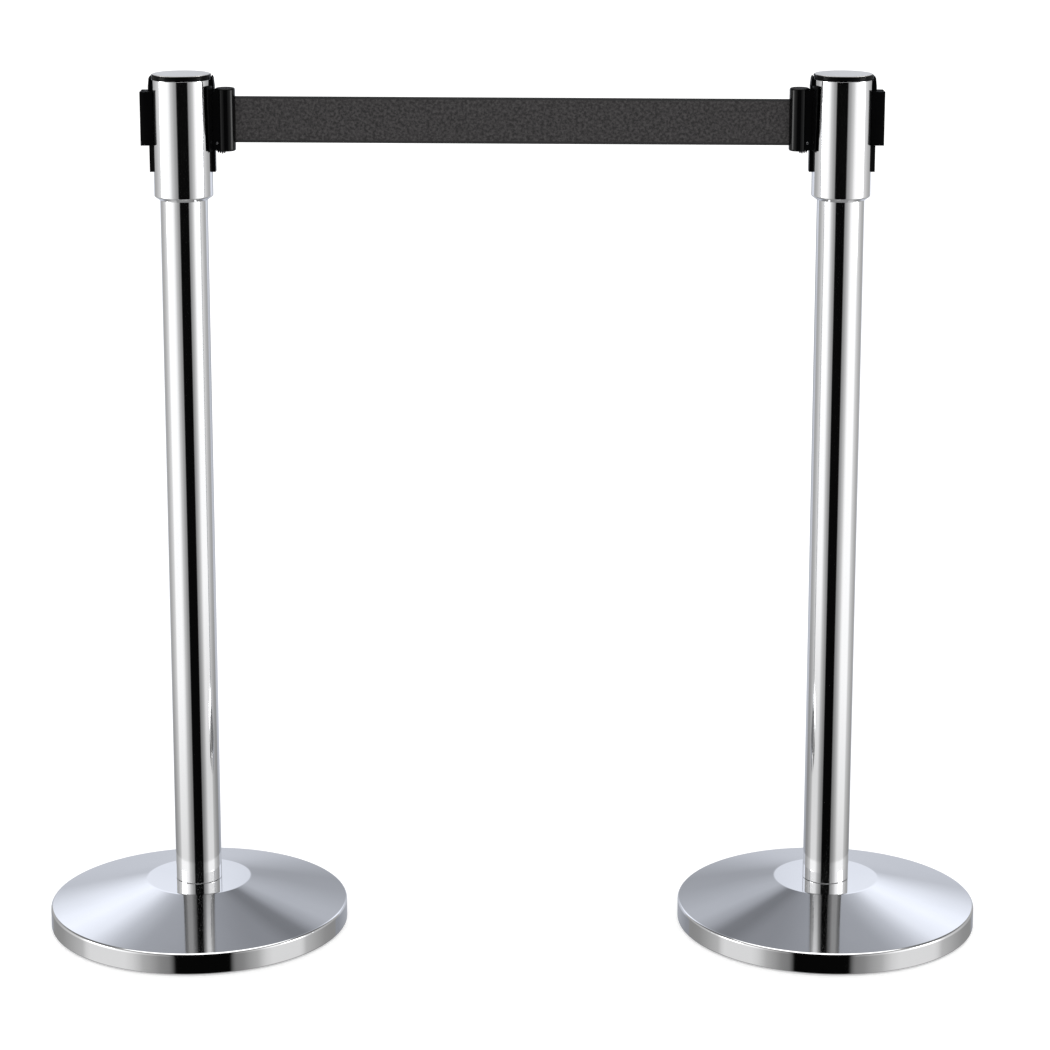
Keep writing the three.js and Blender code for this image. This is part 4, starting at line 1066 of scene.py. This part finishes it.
saddle = SLEEVE_RADIUS + CLEARANCE
barrel_profile = rounded(
    [
        (0, BARREL_FOOT, 0),
        (BARREL_RADIUS, BARREL_FOOT, BARREL_ROUND),
        (BARREL_RADIUS, BARREL_TOP, BARREL_ROUND),
        (DISH_RADIUS, BARREL_TOP, EDGE_BREAK),
        (DISH_RADIUS, BARREL_TOP - DISH_DEPTH, 0),
        (0, BARREL_TOP - DISH_DEPTH, 0),
    ]
)


def wing_outline(edge, outer):
    """A wing in plan: from one free edge round the outside to the other, and back inside."""
    far, near = math.acos(edge / outer), math.acos(edge / saddle)
    last = far - WING_TIP / outer
    tip = [(outer * math.cos(last), outer * math.sin(last), 0)]
    tip += [(edge, outer * math.sin(far), WING_ROUND), (edge, saddle * math.sin(near), 0)]
    end = [tuple(p) for p in rounded(tip)]
    outside = polar(outer, steps_between(-last, last, WING_COLUMNS)[1:-1])
    inside = polar(saddle, steps_between(near, -near, WING_COLUMNS)[1:-1])
    return [(u, -v) for u, v in reversed(end)] + outside + end + inside


def wings(side):
    """A curved plate round the sleeve, with slanted free edges and rounded outer edges."""
    turns = steps_between(0, math.pi / 2, ROUND_STEPS)
    ends = [(WING_EDGE * (1 - math.cos(t)), WING_EDGE * (1 - math.sin(t))) for t in turns]
    levels = [(WING_FOOT + rise, inset) for rise, inset in ends]
    levels += [(WING_TOP - rise, inset) for rise, inset in reversed(ends)]
    points = []
    for z, inset in levels:
        share = (z - WING_FOOT) / (WING_TOP - WING_FOOT)
        edge = WING_EDGE_FOOT + (WING_EDGE_TOP - WING_EDGE_FOOT) * share
        outline = wing_outline(edge + inset, saddle + WING_WALL - inset)
        points += [at_post(side, u, v, z) for u, v in outline]
    shape = (len(outline), len(levels))
    return make_piece("wings", points, lids(*shape) + walls(*shape), "black_plastic")


print("barrel profile:", len(barrel_profile), "points")

# %% Join and cut the nose and the clip
WEB_HALF = 8.5 * MM
WEB_LEVELS = (870.3 * MM, 933.2 * MM)
WEB_STEPS = 8
RAIL_FACE = 35 * MM
RAIL_ROOM = (35.3 * MM, 6.3 * MM)
TONGUE_LEVELS = (871.6 * MM, 930.9 * MM)
TONGUE_HEAD = ((32.2 * MM, 33.4 * MM), 4.5 * MM)
TONGUE_NECK = ((32.2 * MM, 36 * MM), 2.7 * MM)
CATCH_REACH = (37.2 * MM, 48.2 * MM)
CATCH_TRAVEL = 2.5 * MM
CATCH_HALF = 4.6 * MM
CATCH_HEIGHT = 2.6 * MM
NIB_HALF = 1.9 * MM
SPRING_HALF = 1.3 * MM
SPRING_END = 54.2 * MM
BELT_SLOT_HALF = 1 * MM
BELT_SLOT_LEVELS = (873.2 * MM, 928.6 * MM)
LOOP_BORE = 5.5 * MM
BARREL_STEPS, BORE_STEPS, PIN_STEPS = 96, 48, 32
CUT_PAST = 1 * MM
SCREW_ROOM = 0.05 * MM
WEB_SCREW_PLACE = (37.4 * MM, 877.5 * MM)
WEB_SCREW_RADIUS = 1.5 * MM
WEB_SCREW_HEAD = 0.6 * MM
WEB_SCREW_PROUD = 0.25 * MM
WEB_SCREW_SHANK = 0.8 * MM
WEB_SCREW_LENGTH = 4.5 * MM


def hung_body(name, side, for_belt):
    """The nose or the clip. for_belt are the cuts that let the belt in."""
    barrel = turned("barrel", side, barrel_profile, "glossy_plastic", BARREL_STEPS, BARREL_REACH)
    angle = math.asin(WEB_HALF / saddle)
    web_outline = [(BARREL_REACH, -WEB_HALF), (BARREL_REACH, WEB_HALF)]
    web_outline += polar(saddle, steps_between(angle, -angle, WEB_STEPS))
    web = outline_body("web", side, web_outline, *WEB_LEVELS)
    low, pocket_top = BARREL_FOOT - CUT_PAST, BARREL_FOOT + CATCH_HEIGHT + CLEARANCE
    pocket = (CATCH_REACH[0] - CLEARANCE, CATCH_REACH[1] + CATCH_TRAVEL + CLEARANCE)
    nib_room = (RAIL_FACE, CATCH_REACH[0])
    spring_room = (pocket[1] - CUT_PAST, SPRING_END)
    rooms = (
        ((0, RAIL_ROOM[0]), RAIL_ROOM[1], (low, WING_TOP + CUT_PAST)),
        (pocket, CATCH_HALF + CLEARANCE, (low, pocket_top)),
        (nib_room, NIB_HALF + CLEARANCE, (low, pocket_top)),
        (spring_room, SPRING_HALF, (BARREL_FOOT + CLEARANCE, pocket_top)),
    )
    cuts = [block(side, reach, both_ways(half), levels) for reach, half, levels in rooms]
    cuts += for_belt
    seat = WEB_HALF + WEB_SCREW_PROUD - WEB_SCREW_HEAD
    for turn in (-1, 1):
        head = (turn * seat, turn * (WEB_HALF + CUT_PAST))
        shank = (turn * (seat - WEB_SCREW_LENGTH), turn * WEB_HALF)
        cuts.append(drill(side, WEB_SCREW_PLACE, WEB_SCREW_RADIUS + SCREW_ROOM, head))
        cuts.append(drill(side, WEB_SCREW_PLACE, WEB_SCREW_SHANK + SCREW_ROOM, shank))
    body = fused(name, barrel, [web, wings(side)], cuts)
    tongue = [
        block(side, reach, both_ways(half), TONGUE_LEVELS)
        for reach, half in (TONGUE_HEAD, TONGUE_NECK)
    ]
    return fused(name, body, tongue, [])


def belt_slot(side, first, last):
    return block(side, (first, last), both_ways(BELT_SLOT_HALF), BELT_SLOT_LEVELS)


slot_reach = BARREL_REACH + BARREL_RADIUS + CUT_PAST
nose = hung_body("nose_moulding", "left", [belt_slot("left", BARREL_REACH, slot_reach)])
fused("nose_moulding", nose, [], [belt_slot("left", CUT_PAST, BARREL_REACH + CUT_PAST)])
dress(nose, "left_post", "outlet_nose")

pin_low, pin_high = span("clip_belt_pin", 2)
pin_reach = POST_X - middle_of("clip_belt_pin", 0)
pin_room = radius_of("clip_belt_pin") + CLEARANCE
bores = (
    ((0, LOOP_BORE), BELT_SLOT_LEVELS, BORE_STEPS),
    ((0, pin_room), (pin_low - CLEARANCE, pin_high + CLEARANCE), PIN_STEPS),
)
cuts = [belt_slot("right", BARREL_REACH, slot_reach)]
cuts += [
    turned("bore", "right", rectangle(radii, levels), "black_plastic", steps, pin_reach)
    for radii, levels, steps in bores
]
clip = hung_body("clip_moulding", "right", cuts)
dress(clip, "clip", "clip_body")

# %% [markdown]
# ## Catches and screws
# Small parts that repeat are grown by Geometry Nodes. A catch is a block with a row of ridges for
# the thumb, whose depth falls off to both ends. A screw is a tapered head with a cross recess and
# a shank. Each tree has its sizes as inputs, so that one tree makes both posts' pieces.

# %% Helpers for Geometry Nodes


def new_tree(name, inputs):
    tree = bpy.data.node_groups.new(name, "GeometryNodeTree")
    tree.interface.new_socket("Geometry", in_out="OUTPUT", socket_type="NodeSocketGeometry")
    for title, kind, value in inputs:
        socket = tree.interface.new_socket(title, in_out="INPUT", socket_type="NodeSocket" + kind)
        if value is not None:
            socket.default_value = value
    return tree, add(tree, "NodeGroupInput").outputs


def grown(name, tree, **values):
    """The plain mesh that a tree makes. Underscores in the names stand for spaces."""
    obj = new_object(name, bpy.data.meshes.new(name))
    modifier = obj.modifiers.new("growth", "NODES")
    modifier.node_group = tree
    for item in tree.interface.items_tree:
        if item.in_out == "INPUT" and item.name.replace(" ", "_") in values:
            modifier[item.identifier] = values[item.name.replace(" ", "_")]
    as_mesh(obj)
    obj.data.name = name
    smooth(obj.data)
    return obj


def moved(tree, geometry, **place):
    """Moves geometry by x, y and z."""
    inputs = {"Geometry": geometry, "Translation": vector(tree, **place)}
    return add(tree, "GeometryNodeTransform", inputs).outputs[0]


def cube(tree, size):
    return add(tree, "GeometryNodeMeshCube", {"Size": size}).outputs[0]


def cylinder(tree, sides, radius, depth):
    inputs = {"Vertices": sides, "Radius": radius, "Depth": depth}
    return add(tree, "GeometryNodeMeshCylinder", inputs).outputs[0]


def link_all(tree, parts, socket):
    for part in parts:
        tree.links.new(part, socket)


def placed(tree, geometry, place, turn, finish):
    """Ends a tree: its geometry in its place and with its finish."""
    inputs = {"Geometry": geometry, "Translation": place, "Rotation": turn}
    there = add(tree, "GeometryNodeTransform", inputs).outputs[0]
    finished = add(tree, "GeometryNodeSetMaterial", {0: there, "Material": finish}).outputs[0]
    add(tree, "NodeGroupOutput", {0: finished})


# %% Grow the catches
NIB_HEIGHT = 2.2 * MM
NIB_OVERLAP = 0.1 * MM
RIDGE_SIDES = 20
RIDGE_WIDTH_SHARE = 0.42  # half of a ridge's width as a share of the pitch

CATCH, sizes = new_tree(
    "ridged_catch",
    [
        ("Length", "Float", 0.011),
        ("Width", "Float", 0.0092),
        ("Height", "Float", 0.0026),
        ("Ridges", "Int", 5),
        ("Depth", "Float", 0.0033),
        ("Nib", "Vector", (0.0022, 0.0038, 0.0022)),
        ("Place", "Vector", (0, 0, 0)),
        ("Turn", "Float", 0.0),
        ("Finish", "Material", None),
    ],
)
length, width, height, ridges, depth, nib, place, turn, finish = sizes[:9]
body = cube(CATCH, vector(CATCH, length, width, height))
body = moved(CATCH, body, z=times(CATCH, height, 0.5))
nib_size = split(CATCH, nib)
nib_reach = times(CATCH, calc(CATCH, "ADD", length, nib_size[0]), -0.5)
nib_x = calc(CATCH, "ADD", nib_reach, NIB_OVERLAP)
nib_body = moved(CATCH, cube(CATCH, nib), x=nib_x, z=times(CATCH, nib_size[2], 0.5))
pitch = calc(CATCH, "DIVIDE", length, ridges)
first = times(CATCH, calc(CATCH, "SUBTRACT", length, pitch), -0.5)
line = {
    "Count": ridges,
    "Start Location": vector(CATCH, first),
    "Offset": vector(CATCH, pitch),
}
row = add(CATCH, "GeometryNodeMeshLine", line).outputs[0]
index = add(CATCH, "GeometryNodeInputIndex").outputs[0]
middle = times(CATCH, calc(CATCH, "SUBTRACT", ridges, 1.0), 0.5)
off_middle = calc(CATCH, "ABSOLUTE", calc(CATCH, "SUBTRACT", index, middle))
share = calc(CATCH, "SUBTRACT", 1.0, calc(CATCH, "DIVIDE", off_middle, ridges))
across = {"Geometry": cylinder(CATCH, RIDGE_SIDES, 1.0, width), "Rotation": (math.pi / 2, 0, 0)}
ridge = add(CATCH, "GeometryNodeTransform", across).outputs[0]
ridge_size = vector(CATCH, times(CATCH, pitch, RIDGE_WIDTH_SHARE), 1.0, times(CATCH, depth, share))
copies = {"Points": row, "Instance": ridge, "Scale": ridge_size}
ridge_row = add(CATCH, "GeometryNodeInstanceOnPoints", copies).outputs[0]
ridge_row = add(CATCH, "GeometryNodeRealizeInstances", {0: ridge_row}).outputs[0]
union = add(CATCH, "GeometryNodeMeshBoolean", operation="UNION")
link_all(CATCH, (body, nib_body, ridge_row), union.inputs["Mesh 2"])
placed(CATCH, union.outputs[0], place, vector(CATCH, z=turn), finish)

HUNG = {"nose": ("left", "left_post"), "clip": ("right", "clip")}  # side and body of each moulding
nib_length = CATCH_REACH[0] - RAIL_FACE - CLEARANCE
for prefix, (side, _) in HUNG.items():
    node = f"{prefix}_catch"
    catch = grown(
        f"{prefix}_thumb_catch",
        CATCH,
        Length=CATCH_REACH[1] - CATCH_REACH[0],
        Width=2 * CATCH_HALF,
        Height=CATCH_HEIGHT,
        Depth=BARREL_FOOT - span(node, 2)[0],
        Nib=(nib_length, 2 * NIB_HALF, NIB_HEIGHT),
        Place=at_post(side, sum(CATCH_REACH) / 2, 0, BARREL_FOOT),
        Turn=0.0 if side == "left" else math.pi,
        Finish=FINISHES["black_plastic"],
    )
    dress(catch, node, node)

# %% [markdown]
# Behind each catch lies a short return spring, which keeps the frame's shape. It gives way when
# the catch is pushed out.

# %% Seat the return springs
for prefix, (side, body) in HUNG.items():
    node = f"{prefix}_catch_spring"
    spring = new_object(f"{prefix}_return_spring", frame["nodes"][node].data.copy())
    coat(spring.data, "spring_steel")
    dress(spring, body, node)
    low, high = span(node, 0)
    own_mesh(spring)

# %% Grow the receiver screws
HEAD_SIDES, SHANK_SIDES = 40, 24
HEAD_TAPER = 0.72
RECESS_LENGTH_SHARE, RECESS_WIDTH_SHARE = 1.1, 0.24  # of the head's radius
RECESS_MIDDLE_SHARE = 0.9  # of the head's height
RECEIVER_SCREW_HEAD = 1.6 * MM

SCREW, sizes = new_tree(
    "cross_head_screw",
    [
        ("Head radius", "Float", 0.0028),
        ("Head height", "Float", 0.0016),
        ("Shank radius", "Float", 0.0014),
        ("Shank length", "Float", 0.008),
        ("Place", "Vector", (0, 0, 0)),
        ("Turn", "Vector", (0, 0, 0)),
        ("Finish", "Material", None),
    ],
)
head_radius, head_height, shank_radius, shank_length, place, turn, finish = sizes[:7]
cone = {
    "Vertices": HEAD_SIDES,
    "Radius Top": times(SCREW, head_radius, HEAD_TAPER),
    "Radius Bottom": head_radius,
    "Depth": head_height,
}
head = add(SCREW, "GeometryNodeMeshCone", cone).outputs[0]
recess_long = times(SCREW, head_radius, RECESS_LENGTH_SHARE)
recess_thin = times(SCREW, head_radius, RECESS_WIDTH_SHARE)
recess_middle = times(SCREW, head_height, RECESS_MIDDLE_SHARE)
cross = [
    moved(SCREW, cube(SCREW, vector(SCREW, *size, head_height)), z=recess_middle)
    for size in ((recess_long, recess_thin), (recess_thin, recess_long))
]
recessed = add(SCREW, "GeometryNodeMeshBoolean", {"Mesh 1": head}, operation="DIFFERENCE")
link_all(SCREW, cross, recessed.inputs["Mesh 2"])
shank = cylinder(SCREW, SHANK_SIDES, shank_radius, shank_length)
shank = moved(SCREW, shank, z=times(SCREW, shank_length, -0.5))
both = add(SCREW, "GeometryNodeJoinGeometry")
link_all(SCREW, (recessed.outputs[0], shank), both.inputs[0])
placed(SCREW, both.outputs[0], place, turn, finish)

for side, sign in SIDES.items():
    node = f"{side}_receiver_screw"
    low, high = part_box(node)
    outer = sign * max(abs(low.x), abs(high.x))
    screw = grown(
        f"{side}_receiver_cross_screw",
        SCREW,
        Head_radius=(high.z - low.z) / 2,
        Head_height=RECEIVER_SCREW_HEAD,
        Shank_length=high.x - low.x - RECEIVER_SCREW_HEAD / 2,
        Place=(outer - sign * RECEIVER_SCREW_HEAD / 2, 0, (low.z + high.z) / 2),
        Turn=(0, sign * math.pi / 2, 0),
        Finish=FINISHES["zinc_steel"],
    )
    dress(screw, f"{side}_post", node)

# %% Grow the web screws
for prefix, (side, body) in HUNG.items():
    for turn, where in ((-1, "front"), (1, "rear")):
        across = turn * (WEB_HALF + WEB_SCREW_PROUD - WEB_SCREW_HEAD / 2)
        screw = grown(
            f"{prefix}_web_screw_{where}",
            SCREW,
            Head_radius=WEB_SCREW_RADIUS,
            Head_height=WEB_SCREW_HEAD,
            Shank_radius=WEB_SCREW_SHANK,
            Shank_length=WEB_SCREW_LENGTH,
            Place=(at_post(side, WEB_SCREW_PLACE[0], 0, 0)[0], across, WEB_SCREW_PLACE[1]),
            Turn=(-turn * math.pi / 2, 0, 0),
            Finish=FINISHES["zinc_steel"],
        )
        dress(screw, body)

# %% [markdown]
# ## The belt
# The belt is one strip of webbing, held stretched between the posts. It is made in two pieces
# that meet without a gap, because it can change its length in the frame: the first runs from the
# roll through the guide pins to a joint near the clip, the second from there to its loop in the
# clip. The first is long, and the clip's piece is kept short. Each is a grid along a path in
# plan, with a closed edge, fine enough to bend and stretch smoothly.

# %% Lay out a strip of webbing
BELT_WIDTH = 49.4 * MM
BELT_THICKNESS = 0.5 * MM
BELT_COLUMN = 5 * MM
BELT_ROWS = 8
BELT_SHARP = 60


def belt_height(x):
    """Height of the belt's middle: level in the heads and falling a little between them."""
    share = min(max((x - BELT_START) / (BELT_END - BELT_START), 0), 1)
    return START_HEIGHT + (END_HEIGHT - START_HEIGHT) * share


def divided(path):
    """Adds points to a path's long straights."""
    points = [path[0]]
    for before, after in zip(path, path[1:]):
        steps = max(1, round((after - before).length / BELT_COLUMN))
        points += [before.lerp(after, k / steps) for k in range(1, steps + 1)]
    return points


def webbing(name, path):
    path = divided([Vector(p) for p in path])
    half = BELT_WIDTH / 2
    heights = steps_between(*both_ways(half - BELT_THICKNESS / 2), BELT_ROWS)
    section = [(0.5, h) for h in heights] + [(0, half)]
    section += [(-0.5, h) for h in reversed(heights)] + [(0, -half)]
    points = []
    for i, place in enumerate(path):
        along = (path[min(i + 1, len(path) - 1)] - path[max(i - 1, 0)]).normalized()
        across = Vector((-along.y, along.x)) * BELT_THICKNESS
        points += [(*(place + across * a), belt_height(place.x) + h) for a, h in section]
    shape = (len(section), len(path))
    faces = [face[::-1] for face in lids(*shape) + walls(*shape)]
    obj = make_piece(name, points, faces, "woven_belt", BELT_SHARP)
    length = sum((b - a).length for a, b in zip(path, path[1:]))
    print(f"{name}: {length:.4f} m of webbing")
    return obj, length


# %% Thread the belt
CLIP_BEND = 78.5 * MM
BELT_JOINT = BELT_END - CLIP_BEND
BEND_STEPS = 6
LOOP_STEPS = 28
LOOP_OPEN = 0.22
LOOP_NECK = 3 * MM


def path_radius(node):
    """Radius of the belt's path round a node."""
    return radius_of(node) + CLEARANCE + BELT_THICKNESS / 2


def round_a(middle, radius, angles):
    return [Vector(middle) + Vector(way) * radius for way in polar(1, angles)]


pin_middle = [middle_of("guide_pin_front", axis) for axis in (0, 1)]
roll_path, pin_path = path_radius("belt_roll"), path_radius("guide_pin_front")
post_axis = Vector((-POST_X, 0))
pin = Vector(pin_middle) - post_axis
heading = math.atan2(pin.y, pin.x) + math.asin((roll_path + pin_path) / pin.length)
left = heading + math.pi / 2
start = post_axis - Vector((math.cos(left), math.sin(left))) * roll_path
bend = round_a(pin_middle, pin_path, steps_between(left, math.pi / 2, BEND_STEPS))
belt_run, run_length = webbing("belt_run", [start, *bend, (BELT_START, 0), (BELT_JOINT, 0)])

loop_turns = steps_between(math.pi + LOOP_OPEN, 3 * math.pi - LOOP_OPEN, LOOP_STEPS)
loop = round_a((POST_X - pin_reach, 0), path_radius("clip_belt_pin"), loop_turns)
end_path = [(BELT_JOINT, 0), (BELT_END, 0), (BELT_END + LOOP_NECK, 0), *loop]
belt_end, end_length = webbing("belt_end", end_path)
for obj, bodies, ends in (
    (belt_run, ("left_post", "right_post"), (pin_middle[0], BELT_JOINT)),
    (belt_end, ("right_post", "clip"), (BELT_JOINT, BELT_END)),
):
    first, last = [(x, 0, belt_height(x)) for x in ends]
    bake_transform(obj)
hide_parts("belt_lead", "belt_feed")
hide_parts("belt_tail", "clip_belt_loop")
